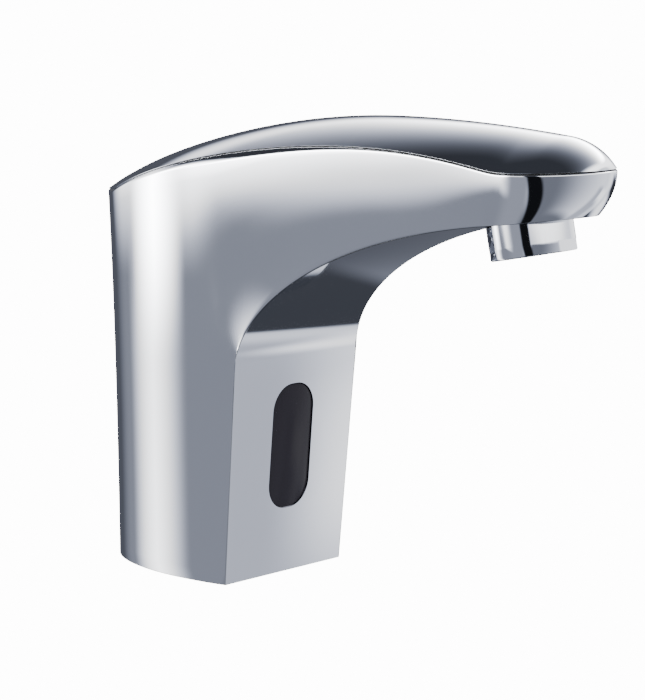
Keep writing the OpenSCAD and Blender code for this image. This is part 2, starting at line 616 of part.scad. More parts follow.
module coil_yoke() color(steel) difference() {
    translate([-coil_r - 0.5 - yoke_t, -yoke_w / 2, coil_low])
        cube([2 * (coil_r + 0.5 + yoke_t), yoke_w, coil_h + 2 * yoke_t]);
    translate([-coil_r - 0.5, -yoke_w, coil_low + yoke_t]) cube([2 * coil_r + 1, 2 * yoke_w, coil_h]);
    translate([0, 0, coil_low - 1]) cylinder(r = guide_r + 0.05, h = coil_h + 3 * yoke_t + 2);
}
module coil_clip() color(steel) translate([0, 0, coil_low + coil_h + 2 * yoke_t])
    ring(guide_r + 2.4, guide_r + 0.02, 1.2);

// Elbow, riser and run of the outlet tube
elbow_w = 9;
barb_r = 2.6;
barb_l = 8;
riser_low = port_z + elbow_w / 2 + 0.3;
bend_r = 14;
riser_x = riser_at * cos(outlet_turn);
riser_y = riser_at * sin(outlet_turn);
bend_z = 112;
adapter_up = boss_top + adapter_flange_t + tube_r + 0.9;
head_x = outlet_x - adapter_up * sin(outlet_tilt);
head_z = under_z(outlet_x) + adapter_up * cos(outlet_tilt);
run_turn = -atan(riser_y / (head_x - riser_x));
run_flat = norm([head_x - riser_x, riser_y]);
// Slope of the run: the tube leaves the bend tangent to the line that ends in the adapter
run_up = atan((head_z - bend_z - bend_r) / (run_flat - bend_r)) - 0.5;
bend_end = [bend_r * (1 - cos(90 - run_up)), bend_r * sin(90 - run_up)];
run_rise = atan((head_z - bend_z - bend_end[1]) / (run_flat - bend_end[0]));
run_l = norm([run_flat - bend_end[0], head_z - bend_z - bend_end[1]]);
barb_out = 15;
module along_run() translate([riser_x, riser_y, bend_z]) rotate([0, 0, run_turn]) children();

module outlet_elbow() color(brass) difference() {
    union() {
        rotate([0, 0, outlet_turn]) translate([0, 0, port_z]) {
            translate([valve_r - 4, 0, 0]) rotate([0, 90, 0]) cylinder(r = 4.5, h = 5);
            translate([valve_r + 0.1, -elbow_w / 2, -elbow_w / 2]) cube([riser_at - valve_r + 3.9, elbow_w, elbow_w]);
        }
        translate([riser_x, riser_y, port_z]) cylinder(r = barb_r, h = elbow_w / 2 + barb_l);
    }
    rotate([0, 0, outlet_turn]) translate([valve_r - 5, 0, port_z]) rotate([0, 90, 0])
        cylinder(r = 2, h = riser_at - valve_r + 5);
    translate([riser_x, riser_y, port_z]) cylinder(r = 1.8, h = elbow_w + barb_l);
}
// The tube is one swept skin, outside and bore, so its riser, bend and run meet without a step
tube_sides = 32;
bend_steps = 9;
module outlet_tube() color([0.9, 0.9, 0.88]) along_run() {
    turn = 90 - run_rise;
    bend = [for (i = [0:bend_steps]) let(a = turn * i / bend_steps) [bend_r * (1 - cos(a)), bend_r * sin(a), a]];
    last = bend[bend_steps] + (run_l - adapter_head_r - 1) * [sin(turn), cos(turn), 0];
    path = concat([[0, riser_low - bend_z, 0]], bend, [last]);
    n = len(path);
    s = tube_sides;
    rings = [for (r = [tube_r, barb_r + snug]) for (p = path) for (k = [0:s - 1]) let(t = 360 * k / s)
        [p[0] + r * cos(t) * cos(p[2]), r * sin(t), p[1] - r * cos(t) * sin(p[2])]];
    skin = [for (i = [0:n - 2]) for (k = [0:s - 1]) let(h = (k + 1) % s, a = i * s, b = (i + 1) * s, c = n * s)
        each concat(quad(a + k, b + k, b + h, a + h), quad(c + a + h, c + b + h, c + b + k, c + a + k))];
    ends = [for (k = [0:s - 1]) let(h = (k + 1) % s, c = n * s, e = (n - 1) * s)
        each concat(quad(k, h, c + h, c + k), quad(e + h, e + k, c + e + k, c + e + h))];
    polyhedron(rings, concat(skin, ends), convexity = 6);
}
module tube_clamps() color(steel) {
    translate([riser_x, riser_y, riser_low + 2.5]) ring(tube_r + 0.55, tube_r + 0.02, 3);
    along_run() translate([bend_r * (1 - sin(run_rise)), 0, bend_r * cos(run_rise)])
        rotate([0, 90 - run_rise, 0]) translate([0, 0, run_l - adapter_head_r - 8]) ring(tube_r + 0.7, tube_r + 0.02, 3);
}
module outlet_adapter() color(brass) difference() {
    union() {
        on_outlet() {
            translate([0, 0, washer_low + washer_t + 0.05]) cylinder(r = thread_r - 0.05, h = boss_top - washer_low - washer_t);
            translate([0, 0, boss_top]) cylinder(r = outlet_boss_r, h = adapter_flange_t);
            translate([0, 0, boss_top + adapter_flange_t - eps]) cylinder(r = adapter_head_r, h = adapter_head_h + 0.6);
        }
        translate([head_x, 0, head_z]) rotate([0, 0, run_turn]) rotate([0, -90 - run_rise, 0])
            cylinder(r = barb_r, h = barb_out);
    }
    on_outlet() translate([0, 0, washer_low]) cylinder(r = thread_r - 2.5, h = boss_top - washer_low - 1);
    on_outlet() translate([0, 0, boss_top - 3]) cylinder(r = 3.5, h = adapter_flange_t + adapter_head_h + 1.5);
    translate([head_x, 0, head_z]) rotate([0, 0, run_turn]) rotate([0, -90 - run_rise, 0])
        cylinder(r = 1.8, h = barb_out + 1);
    on_outlet() translate([0, 0, washer_low + washer_t + 1]) ring(thread_r + 1, thread_r - 1.2, 1.4);
    on_outlet() for (s = [-1, 1]) translate([0, s * adapter_screw_at, boss_top - 1])
        cylinder(r = adapter_screw_r + 0.2, h = 6);
}
washer_low = skirt_in + thread_l;
module adapter_o_ring() color(rubber) on_outlet() translate([0, 0, washer_low + washer_t + 1.05])
    ring(thread_r, thread_r - 1.15, 1.3);
module adapter_screws() color(steel) on_outlet() for (s = [-1, 1])
    translate([0, s * adapter_screw_at, boss_top + adapter_flange_t]) rotate([180, 0, 0])
        screw(adapter_screw_r - 0.05, adapter_flange_t + 5, 1.7, 1.2, 0.7);

module aerator_washer() color(rubber) on_outlet() translate([0, 0, washer_low]) ring(thread_r - 0.1, thread_r - 3.4, washer_t);
module aerator_housing() color(chrome) on_outlet() difference() {
    union() {
        translate([0, 0, -aerator_show]) cylinder(r = aerator_d / 2, h = aerator_show + skirt_in);
        translate([0, 0, 0]) cylinder(r = thread_r - 0.05, h = washer_low);
    }
    translate([0, 0, -aerator_show + 2.2]) cylinder(r = insert_r + snug, h = aerator_show + washer_low);
    translate([0, 0, -aerator_show - 1]) cylinder(r = insert_r - 0.6, h = 10);
    rotate([0, 0, flats_turn]) for (s = [-1, 1]) translate([s > 0 ? flats_w / 2 : -flats_w / 2 - 5, -15, -aerator_show - 1])
        cube([5, 30, flats_h + 1]);
}
insert_r = 10.2;
insert_low = -aerator_show + 3.4;
module aerator_insert() color(white) on_outlet() difference() {
    translate([0, 0, insert_low]) cylinder(r = insert_r, h = washer_low - insert_low);
    translate([0, 0, insert_low - 1]) cylinder(r = insert_r - 1.4, h = washer_low - insert_low - 2);
    for (a = [0:30:330]) rotate([0, 0, a]) translate([6.2, 0, 0]) cylinder(r = 0.7, h = washer_low + 2);
}
module aerator_screen() color(steel) on_outlet() translate([0, 0, insert_low - 1.2]) difference() {
    cylinder(r = insert_r - 0.02, h = 1.15);
    for (q = [[0, 1], [3, 6], [6, 12]]) for (k = [0:q[1] - 1]) rotate([0, 0, 360 * k / q[1]])
        translate([q[0], 0, -1]) cylinder(r = 0.8, h = 3.5);
}

// Frame, battery and control board
post_r = 2.5;
// Middle of the battery box along the tap
box_mid = -2.5;
box_x = box_mid - battery_box_w / 2;
post_back = box_x + post_r;
post_front = box_x + battery_box_w - post_r;
post_side = battery_box_d / 2 + 1.7;
post_at = [[post_back, 8], [post_back, -8], [post_front, post_side], [post_front, -post_side]];
shelf_z = max(guide_top + cap_t, coil_low + coil_h + 2 * yoke_t + 1.2) + 2;
shelf_t = 2.5;
box_z = shelf_z + shelf_t;
box_wall = 1.6;
module support_frame() color(black) difference() {
    union() {
        for (p = post_at) translate([p[0], p[1], base_top]) cylinder(r = post_r, h = shelf_z - base_top + 1);
        translate([box_x, -battery_box_d / 2 - 2, shelf_z]) cube([battery_box_w, battery_box_d + 4, shelf_t]);
        for (s = [-1, 1]) translate([post_front, s * post_side, shelf_z]) cylinder(r = post_r, h = shelf_t);
    }
    for (p = post_at) translate([p[0], p[1], base_top - 1]) cylinder(r = screw_r - 0.1, h = 12);
}
module frame_screws() color(steel) for (p = post_at) translate([p[0], p[1], base_sink + 1.8])
    screw(screw_r - 0.15, base_t - 1.8 + 8, 2.2, 1.5, 1);
module battery_box() color(black) {
    difference() {
        translate([box_x, -battery_box_d / 2, box_z]) cube([battery_box_w, battery_box_d, battery_box_h]);
        translate([box_x + box_wall, -battery_box_d / 2 + box_wall, box_z + box_wall])
            cube([battery_box_w - 2 * box_wall, battery_box_d - 2 * box_wall, battery_box_h]);
    }
    for (x = standoff_x) for (z = standoff_z) translate([x, -battery_box_d / 2 + 0.4, z]) rotate([90, 0, 0])
        difference() {
            cylinder(r = 2.2, h = standoff_l + 0.4);
            translate([0, 0, 0.6]) cylinder(r = 0.9, h = standoff_l + 2);
        }
}
standoff_l = 3;
standoff_x = [box_x + 10, box_x + battery_box_w - 4];
standoff_z = [box_z + 5, box_z + battery_box_h - 7];
pack_top = box_z + battery_box_h - 0.8;
module battery_pack() color([0.2, 0.35, 0.6]) translate([box_x + box_wall + 0.2, -battery_box_d / 2 + box_wall + 0.2, contact_top]) {
    linear_extrude(height = pack_top - contact_top) difference() {
        square([battery_box_w - 2 * box_wall - 0.4, battery_box_d - 2 * box_wall - 0.4]);
        translate([(battery_box_w - 2 * box_wall - 0.4) / 2, 0]) circle(r = 1.5);
    }
}
contact_top = box_z + box_wall + 1;
module battery_contacts() color(brass) for (s = [-1, 1])
    translate([box_x + battery_box_w / 2 + s * 9 - 4, -4, box_z + box_wall]) cube([8, 8, 1]);
module battery_lid() color(black) {
    translate([box_x, -battery_box_d / 2, box_z + battery_box_h]) cube([battery_box_w, battery_box_d, 1.8]);
    translate([box_x + 6, -3, box_z + battery_box_h + 1.8 - eps]) cube([battery_box_w - 12, 6, 1.2]);
}
board_y = -battery_box_d / 2 - standoff_l;
board_x = [standoff_x[0] - 3, standoff_x[1] + 3];
board_h = battery_box_h - 4;
module control_board() color(green) difference() {
    translate([board_x[0], board_y - board_t, box_z + 1]) cube([board_x[1] - board_x[0], board_t, board_h]);
    for (x = standoff_x) for (z = standoff_z) translate([x, board_y + 1, z]) rotate([90, 0, 0])
        cylinder(r = 1.05, h = board_t + 2);
}
module board_components() color([0.15, 0.15, 0.17]) translate([0, board_y - board_t, box_z]) {
    translate([-5, -1.6, 16]) cube([9, 1.6, 9]);
    translate([-9, -1.2, 27]) cube([6, 1.2, 4]);
    translate([8, 0, 12]) rotate([90, 0, 0]) cylinder(r = 2.4, h = 3.4);
    translate([8, 0, 19]) rotate([90, 0, 0]) cylinder(r = 2.4, h = 3.4);
    for (x = [-8, -1, 6]) translate([x, -3, 4]) cube([5, 3, 4]);
}
module board_screws() color(steel) for (x = standoff_x) for (z = standoff_z)
    translate([x, board_y - board_t, z]) rotate([-90, 0, 0]) screw(0.85, board_t + 2, 1.9, 1.2, 0.7);

// Wires: a tube of eight sides along a list of points
lead_r = 1;
lead_sides = 8;
module lead(pts, r) {
    n = len(pts);
    dirs = [for (i = [0:n - 1]) unit(unit(pts[min(n - 1, i + 1)] - pts[max(0, i - (i == n - 1 ? 1 : 0))])
        + unit(pts[max(1, i)] - pts[max(1, i) - 1]))];
    function frame_u(d) = unit(cross(d, abs(d[1]) < 0.8 ? [0, 1, 0] : [1, 0, 0]));
    rings = [for (i = [0:n - 1]) let(u = frame_u(dirs[i]), v = cross(dirs[i], u))
        for (k = [0:lead_sides - 1]) let(a = 360 * k / lead_sides) pts[i] + r * (cos(a) * u + sin(a) * v)];
    skin = [for (i = [0:n - 2]) for (k = [0:lead_sides - 1]) let(h = (k + 1) % lead_sides)
        each quad(i * lead_sides + k, (i + 1) * lead_sides + k, (i + 1) * lead_sides + h, i * lead_sides + h)];
    polyhedron(rings, concat(skin, [[for (k = [0:lead_sides - 1]) k]],
        [[for (k = [lead_sides - 1:-1:0]) (n - 1) * lead_sides + k]]), convexity = 4);
}
plug_y = board_y - board_t - 1.5;
module sensor_lead() color([0.2, 0.2, 0.22]) lead([[panel_x - 16.25, 0, 31],
    [panel_x - 17.65, -6, 33], [panel_x - 15.65, -15, 40], [panel_x - 15.45, -18, 52], [14, -plug_side, 62], [8.5, plug_y, box_z - 1], [8.5, plug_y, box_z + 3.95]], 0.8);
plug_side = 17.5;
module valve_lead() color([0.7, 0.12, 0.1]) lead([[1.5, -coil_r - 0.5, 50], [1.5, -14.5, 51], [1.5, -16.8, 55],
    [1.5, -17.2, 62], [1.5, plug_y, box_z - 1], [1.5, plug_y, box_z + 3.95]], 0.8);
module battery_lead() color([0.15, 0.15, 0.5]) lead([[box_x + 9.5, -battery_box_d / 2 - 0.35, box_z + 1.8],
    [box_x + 9.5, -battery_box_d / 2 - 2.1, box_z + 0.85], [box_x + 11.5, -battery_box_d / 2 - 4, box_z - 0.2],
    [-7, plug_y, box_z - 0.2], [-5.5, plug_y, box_z + 2], [-5.5, plug_y, box_z + 3.95]], 0.5);

body_shell();
top_cover();
cover_gasket();
cover_screw();
peg_ring();
sensor_window();
window_gasket();
sensor_housing();
sensor_board();
ir_emitter();
ir_receiver();
status_led();
sensor_back();
sensor_screws();
control_board();
board_components();
board_screws();
battery_box();
battery_pack();
battery_contacts();
battery_lid();
support_frame();
frame_screws();
base_plate();
base_screws();
base_gasket();
inlet_fitting();
inlet_filter();
inlet_o_ring();
valve_body();
diaphragm();
diaphragm_insert();
valve_bonnet();
valve_screws();
plunger();
plunger_seal();
plunger_spring();
coil_bobbin();
coil_winding();
coil_yoke();
coil_clip();
outlet_elbow();
outlet_tube();
tube_clamps();
outlet_adapter();
adapter_o_ring();
adapter_screws();
aerator_washer();
aerator_insert();
aerator_screen();
aerator_housing();
sensor_lead();
valve_lead();
battery_lead();
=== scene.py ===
import json
import math

import bmesh
import bpy
import numpy as np
from bpy.props import FloatProperty, FloatVectorProperty, IntProperty, PointerProperty
from mathutils import Matrix, Vector
from mathutils.geometry import tessellate_polygon

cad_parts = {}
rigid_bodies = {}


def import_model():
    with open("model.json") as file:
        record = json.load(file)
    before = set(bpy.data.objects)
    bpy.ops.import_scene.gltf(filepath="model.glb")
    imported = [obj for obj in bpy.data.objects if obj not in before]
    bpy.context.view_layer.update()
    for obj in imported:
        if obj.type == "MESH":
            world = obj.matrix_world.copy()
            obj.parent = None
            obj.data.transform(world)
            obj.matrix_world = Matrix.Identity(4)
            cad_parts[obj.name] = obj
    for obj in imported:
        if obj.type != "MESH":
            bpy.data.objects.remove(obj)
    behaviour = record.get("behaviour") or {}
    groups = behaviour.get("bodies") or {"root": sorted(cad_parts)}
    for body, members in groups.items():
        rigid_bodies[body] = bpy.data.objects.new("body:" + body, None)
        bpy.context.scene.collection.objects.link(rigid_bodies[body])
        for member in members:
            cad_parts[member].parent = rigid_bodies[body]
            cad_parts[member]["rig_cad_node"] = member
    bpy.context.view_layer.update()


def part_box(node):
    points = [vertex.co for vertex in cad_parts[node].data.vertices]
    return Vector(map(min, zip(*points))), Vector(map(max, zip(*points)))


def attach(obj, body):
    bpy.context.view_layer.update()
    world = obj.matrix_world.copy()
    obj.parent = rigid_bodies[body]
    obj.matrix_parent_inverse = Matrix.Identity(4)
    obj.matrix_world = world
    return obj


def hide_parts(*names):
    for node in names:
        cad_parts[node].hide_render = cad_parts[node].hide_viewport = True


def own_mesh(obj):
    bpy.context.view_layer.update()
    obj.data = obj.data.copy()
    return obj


bl_info = {
    "name": "Sensor tap",
    "version": (1, 0, 0),
    "blender": (4, 5, 0),
    "location": "View3D > Sidebar > Sensor tap",
    "description": "Builds the looks of a sensor tap around its CAD frame",
    "category": "Object",
}

MM = 0.001

# Roundings of the body's edges: behind the panel, along the panel and arc, at the crease, at the seam
BACK_EDGE, FRONT_EDGE, CREASE_EDGE, SEAM_EDGE = 0.35, 0.45, 0.4, 0.12
# Painted shade on the rounded lower edge: how dark it is, and on the panel and the arc how dark the row
# above it
EDGE_PAINTED_SHADE, NEXT_PAINTED_SHADE = 0.8, 0.24
# Eased rim of the window: its width, and where a row outside it keeps the panel's shading flat
RIM, RIM_GUARD = 0.25, 0.3
# Fixing bosses behind the panel: distance above and below the window's middle, radius, depth
BOSS_AWAY, BOSS_RADIUS, BOSS_DEPTH = 26.5, 3, 13
# Wall round the outlet's recess, on the outlet's axis: radius and height
OUTLET_WALL = ((12.1, 3), (16, 3), (16, 13.4), (12.1, 13.4))
# Cover: rounding of its lower edge; its peg's radius, foot, top and place
COVER_EDGE, PEG_RADIUS, PEG_LOW, PEG_HIGH, PEG_AT = 0.2, 3, 122, 147.5, (95, -9, 0)
# Gauze in the ring, in metres: radius of its disc and wire, height of the first layer, step to the next
GAUZE_DISC, GAUZE_WIRE, GAUZE_UP, GAUZE_STEP = 0.0094, 0.00014, 0.0026, 0.0003
# Spring and winding, in metres: turns and wire of the spring, wire and bore of the winding
SPRING_TURNS, SPRING_WIRE, COPPER_WIRE, COPPER_BORE = 7.0, 0.00032, 0.00022, 0.00706


# Form of the body, in millimetres, in the frame of the CAD part
def mix(a, b, t):
    return a + (b - a) * t


def ease(t):
    return t * t * (3 - 2 * t)


def blend_max(a, b, e):
    return (a + b) / 2 + math.hypot((a - b) / 2, e)


def unit2(x, y):
    n = math.hypot(x, y) or 1.0
    return x / n, y / n


def bezier(points, t):
    """A point and a direction on a cubic curve in the XZ plane."""
    a, b, c, d = (Vector(p) for p in points)
    s = 1 - t
    at = a * s ** 3 + b * 3 * s * s * t + c * 3 * s * t * t + d * t ** 3
    way = (b - a) * s * s + (c - b) * 2 * s * t + (d - c) * t * t
    return at, way.normalized()


class Form:
    """The tap's outer form: sections from the back centre round the near side to the nose tip."""

    sections = (("back", 46), ("side", 8), ("panel", 14), ("arc", 84), ("chin", 3), ("nose", 40))
    # Arc: handles of its curve at the top of the panel and at the chin, and how softly it starts to narrow
    arc_rise, arc_reach, arc_ease = 19, 60, 0.12
    # Straight part of the underside before the nose's circle
    chin_run = 3
    # How slowly the seam and the crown fall away, behind their highest point and before it
    seam_fall, crown_fall = (572, 454), (544, 1100)
    # Slope of the seam at the nose; how softly the seam's curve runs out, at the back and at the nose
    seam_slope, seam_ease = 0.035, (0.6, 0.5)
    # Band under the seam: least height, length over which it thins to that, and how far before the
    # panel's foot it is highest
    band_min, band_length, band_ahead = 0.3, 38, 1.5
    # Share of the band's height by which the seam lies inside the crease
    seam_inset = 0.6
    # Lengths over which the crown rounds off, at the back and at the nose
    tail_end, nose_end = 12, 14
    # Ledge that the cover sits on: width, and depth under the seam
    ledge_w, lip_drop = 1.8, 1.6

    def __init__(self, s):
        k = 1 / MM
        self.lean, self.panel_h = s.lean, s.panel_height * k
        self.panel_x = s.base_depth * k / 2
        self.wide_x = self.panel_x - s.widest_back * k
        self.back_a = s.base_depth * k - s.widest_back * k
        self.half_w, self.top_hw = s.base_width * k / 2, s.panel_top_width * k / 2
        self.wall = s.wall * k
        self.chin = (s.chin_x * k, s.chin_z * k)
        self.slope, self.chin_r = s.chin_slope, s.chin_radius * k
        self.nose_x, self.nose_r = s.nose_x * k, s.nose_radius * k
        self.chin_c = self.nose_x - (self.nose_r - self.chin_r) - self.chin_run
        top = (self.panel_x + self.panel_h * math.tan(self.lean), self.panel_h)
        flat = unit2(1, self.slope)
        self.arc = (
            top,
            (top[0] + self.arc_rise * math.sin(self.lean), top[1] + self.arc_rise * math.cos(self.lean)),
            (self.chin[0] - self.arc_reach * flat[0], self.chin[1] - self.arc_reach * flat[1]),
            self.chin,
        )
        self.back_flare, self.side_flare = s.back_flare * k, s.side_flare * k
        self.crown_x, self.crown_z = s.crown_x * k, s.crown_z * k
        self.seam_z, self.tail_z, self.nose_z = s.seam_z * k, s.tail_z * k, s.nose_z * k
        self.gap, self.band_max = s.seam_gap * k, s.band * k
        self.cover_t = s.cover_thickness * k
        self.stations = [(name, i / n) for name, n in self.sections for i in range(n)] + [("nose", 1.0)]
        spread = self.spread("nose", 0.0)
        self.top_step = (self.nose_x - self.wide_x) / (spread - self.wide_x)
        self.crest = [self.crest_at(*st) for st in self.stations]
        self.seam = self.moved_in(self.crest, [self.seam_inset * self.band(x) for x, _ in self.crest])
        self.ledge = self.moved_in(self.seam, [self.ledge_w] * len(self.seam))
        self.back_tip, self.nose_tip = self.seam[0][0], self.seam[-1][0]

    def side_hw(self, x):
        return self.half_w * math.sqrt(1 - ((x - self.wide_x) / self.back_a) ** 2)

    def under_z(self, x):
        return self.chin[1] + self.slope * (x - self.chin[0])

    def low(self, part, f, g=0.0):
        """Lower edge of the near side at share f of a part, moved inwards by g: x, half width, z."""
        if part == "back":
            a = math.pi / 2 * f
            return (self.wide_x - (self.back_a - g) * math.cos(a), (self.half_w - g) * math.sin(a), 0.0)
        if part == "side":
            x = mix(self.wide_x, self.panel_x - g / math.cos(self.lean), f)
            return (x, self.side_hw(x) - g, 0.0)
        if part == "panel":
            z = f * (self.panel_h + g * math.sin(self.lean))
            x = self.panel_x + z * math.tan(self.lean) - g / math.cos(self.lean)
            return (x, mix(self.side_hw(self.panel_x), self.top_hw, f) - g, z)
        if part == "arc":
            p, d = bezier(self.arc, f)
            share = (1 + self.arc_ease) * f * f / (f + self.arc_ease)
            return (p[0] - g * d[1], mix(self.top_hw, self.chin_r, share) - g, p[1] + g * d[0])
        rise = g * math.hypot(1, self.slope)
        a = math.pi / 2 * f if part == "nose" else 0.0
        x = mix(self.chin[0] - g * self.slope, self.chin_c, f) if part == "chin" else self.chin_c
        x += (self.chin_r - g) * math.sin(a)
        return (x, (self.chin_r - g) * math.cos(a), self.under_z(x) + rise)

    def spread(self, part, f):
        """A measure that grows along the lower edge, on the upright panel too."""
        p = self.low(part, f)
        return p[0] + 0.2 * p[2]

    def crest_at(self, part, f):
        """Top outline of the side walls: x, half width."""
        a = math.pi / 2 * f
        if part == "back":
            return (
                self.wide_x - (self.back_a + self.back_flare) * math.cos(a),
                (self.half_w + self.side_flare) * math.sin(a),
            )
        if part == "nose":
            return (self.nose_x + self.nose_r * math.sin(a), self.nose_r * math.cos(a))
        x = self.wide_x + self.top_step * (self.spread(part, f) - self.wide_x)
        share = (x - self.wide_x) / (self.nose_x - self.wide_x)
        return (x, mix(self.half_w + self.side_flare, self.nose_r, ease(share)))

    @staticmethod
    def moved_in(line, steps):
        """A plan outline moved inwards, by its own step at each point."""
        out, last = [], len(line) - 1
        for i, (p, step) in enumerate(zip(line, steps)):
            a = (line[1][0], -line[1][1]) if i == 0 else line[i - 1]
            b = (line[-2][0], -line[-2][1]) if i == last else line[i + 1]
            d = unit2(b[0] - a[0], b[1] - a[1])
            out.append((p[0] + step * d[1], p[1] - step * d[0]))
        return out

    def seam_h(self, x):
        """Height of the seam."""
        k = 0 if x < self.crown_x else 1
        end = self.nose_z + self.seam_slope * (x - self.nose_x) if k else self.tail_z
        return blend_max(self.seam_z - (x - self.crown_x) ** 2 / self.seam_fall[k], end, self.seam_ease[k])

    def band(self, x):
        """Height of the band under the seam."""
        away = (x - self.panel_x - self.band_ahead) / self.band_length
        return mix(self.band_min, self.band_max, math.exp(-(away**2)))

    def rise(self, x):
        """Height of the crown's centre line above the seam."""
        fall = self.crown_fall[0] if x < self.crown_x else self.crown_fall[1]
        crown = self.crown_z - (x - self.crown_x) ** 2 / fall
        back, nose = self.back_tip + self.tail_end, self.nose_tip - self.nose_end
        share = max(0.0, (back - x) / self.tail_end, (x - nose) / self.nose_end)
        return (crown - self.seam_h(x)) * math.sqrt(max(0.0, 1 - share * share))

    @staticmethod
    def wall_at(part, a, b, t):
        """A wall point at height share t between a lower edge point and a top point."""
        s = (1 - t) ** 2
        x = mix(a[0], b[0], t ** 2.5) if part == "back" else mix(a[0], b[0], t)
        if part == "nose":
            x = b[0] - (b[0] - a[0]) * s
        return (x, b[1] - (b[1] - a[1]) * s, mix(a[2], b[2], t))

    def crease(self, i):
        """Top of the side wall, where the band begins."""
        x, y = self.crest[i]
        return (x, y, self.seam_h(self.seam[i][0]) - self.gap - self.band(x))

    def seam_point(self, i, drop=0.0):
        x, y = self.seam[i]
        return (x, y, self.seam_h(x) - drop)

    def ledge_point(self, i, drop=0.0):
        return (*self.ledge[i], self.seam_h(self.seam[i][0]) - self.lip_drop - drop)


def rounded(before, corner, after, size, steps=4):
    """Points of a small rounded edge in place of a corner."""
    b, c, a = Vector(before), Vector(corner), Vector(after)
    u = min(size, (b - c).length * 0.45)
    v = min(size, (a - c).length * 0.45)
    p, q = c + (b - c).normalized() * u, c + (a - c).normalized() * v
    shares = [k / steps for k in range(steps + 1)]
    return [tuple(p * (1 - t) ** 2 + c * 2 * t * (1 - t) + q * t * t) for t in shares]


def slot_line(w, h, r, steps=12):
    """Outline of a rounded slot: y, z."""
    out = []
    for k, (sy, sz) in enumerate(((1, 1), (-1, 1), (-1, -1), (1, -1))):
        for j in range(steps + 1):
            a = math.pi / 2 * (k + j / steps)
            out.append((sy * (w / 2 - r) + r * math.cos(a), sz * (h / 2 - r) + r * math.sin(a)))
    return out


def on_panel(form):
    return Matrix.Translation((form.panel_x, 0, 0)) @ Matrix.Rotation(form.lean, 4, "Y")


def on_outlet(form, s):
    x = s.outlet_x / MM
    return Matrix.Translation((x, 0, form.under_z(x))) @ Matrix.Rotation(-s.outlet_tilt, 4, "Y")


# Meshes
def linked(name, mesh):
    """An object of a mesh with smooth faces, in the scene."""
    mesh.polygons.foreach_set("use_smooth", [True] * len(mesh.polygons))
    obj = bpy.data.objects.new(name, mesh)
    bpy.context.scene.collection.objects.link(obj)
    return obj


def finished(name, bm, finish, angle=30):
    """A named object from a mesh in millimetres: welded, normals outwards, smooth but for its edges."""
    bmesh.ops.remove_doubles(bm, verts=bm.verts, dist=1e-5)
    bmesh.ops.dissolve_degenerate(bm, edges=bm.edges, dist=1e-5)
    bmesh.ops.recalc_face_normals(bm, faces=bm.faces)
    bmesh.ops.scale(bm, vec=(MM, MM, MM), verts=bm.verts)
    mesh = bpy.data.meshes.new(name)
    bm.to_mesh(mesh)
    bm.free()
    mesh.materials.append(finish)
    obj = linked(name, mesh)
    mesh.set_sharp_from_angle(angle=math.radians(angle))
    return obj


def strips(bm, rows, closed=True, wrap=False):
    """Quads between rows of vertices: each row is a loop if closed, the last joins the first if wrap."""
    pairs = list(zip(rows, rows[1:])) + ([(rows[-1], rows[0])] if wrap else [])
    for a, b in pairs:
        n = len(a)
        for k in range(n if closed else n - 1):
            bm.faces.new([a[k], a[(k + 1) % n], b[(k + 1) % n], b[k]])


def filled(bm, *loops):
    """A flat face between an outer loop and the holes in it."""
    points = [v for loop in loops for v in loop]
    for corners in tessellate_polygon([[v.co for v in loop] for loop in loops]):
        bm.faces.new([points[k] for k in corners])


def lathe(bm, profile, at=Matrix(), segments=96):
    """A ring-shaped solid from a closed profile of radius and height."""
    rows = []
    for k in range(segments):
        a = math.tau * k / segments
        rows.append([bm.verts.new(at @ Vector((r * math.cos(a), r * math.sin(a), z))) for r, z in profile])
    strips(bm, rows, wrap=True)
    return rows


def rod(bm, radius, low, high, at):
    """A round bar with eased ends."""
    e = 0.2
    side = [(radius - e, low), (radius, low + e), (radius, high - e), (radius - e, high)]
    lathe(bm, [(0, low), *side, (0, high)], at, 48)


def window_loops(bm, form, s, steps):
    """Outlines of the window, each at a depth from the panel and wider than the window by so much."""
    at = on_panel(form) @ Matrix.Translation((0, 0, s.window_up / MM))
    w, h, r = s.window_width / MM, s.window_height / MM, s.window_radius / MM
    loops = []
    for depth, more in steps:
        line = slot_line(w + 2 * more, h + 2 * more, r + more)
        loops.append([bm.verts.new(at @ Vector((depth, y, z))) for y, z in line])
    return loops


class SideWall:
    """Half width of the side wall at x, z: widest at the top, drawn in towards the nearest lower edge."""

    # Distance over which the pulls of neighbouring stretches of the lower edge blend
    blend = 5

    def __init__(self, form):
        self.form = form
        low = [form.low(part, f) for part, f in form.stations if part in ("panel", "arc", "chin")]
        top = [form.crease(i) for i in range(len(form.stations))]
        self.top = np.array(top)
        self.lack = np.array([self.plain(x, z) - y for x, y, z in low])
        line = np.array(low)[:, [0, 2]]
        self.start, self.run = line[:-1], np.diff(line, axis=0)
        self.length = np.linalg.norm(self.run, axis=1)

    def plain(self, x, z):
        base = self.form.side_hw(min(x, self.form.panel_x))
        top = np.interp(x, self.top[:, 0], self.top[:, 1])
        high = np.interp(x, self.top[:, 0], self.top[:, 2])
        return top - (top - base) * max(0.0, 1 - z / high) ** 2

    def at(self, x, z):
        away = np.array((x, z)) - self.start
        along = np.clip((away * self.run).sum(axis=1) / (self.run**2).sum(axis=1), 0, 1)
        far = np.linalg.norm(away - along[:, None] * self.run, axis=1)
        d = float(far.min())
        pull = self.length * np.exp((d - far) / self.blend)
        lack = float((pull * mix(self.lack[:-1], self.lack[1:], along)).sum() / pull.sum())
        high = np.interp(x, self.top[:, 0], self.top[:, 2])
        share = d / (d + max(0.0, high - z) + 1e-9)
        near = ease(min(1.0, max(0.0, (x - self.form.wide_x) / (self.form.panel_x - self.form.wide_x))))
        return self.plain(x, z) - lack * near * (1 - share) ** 2


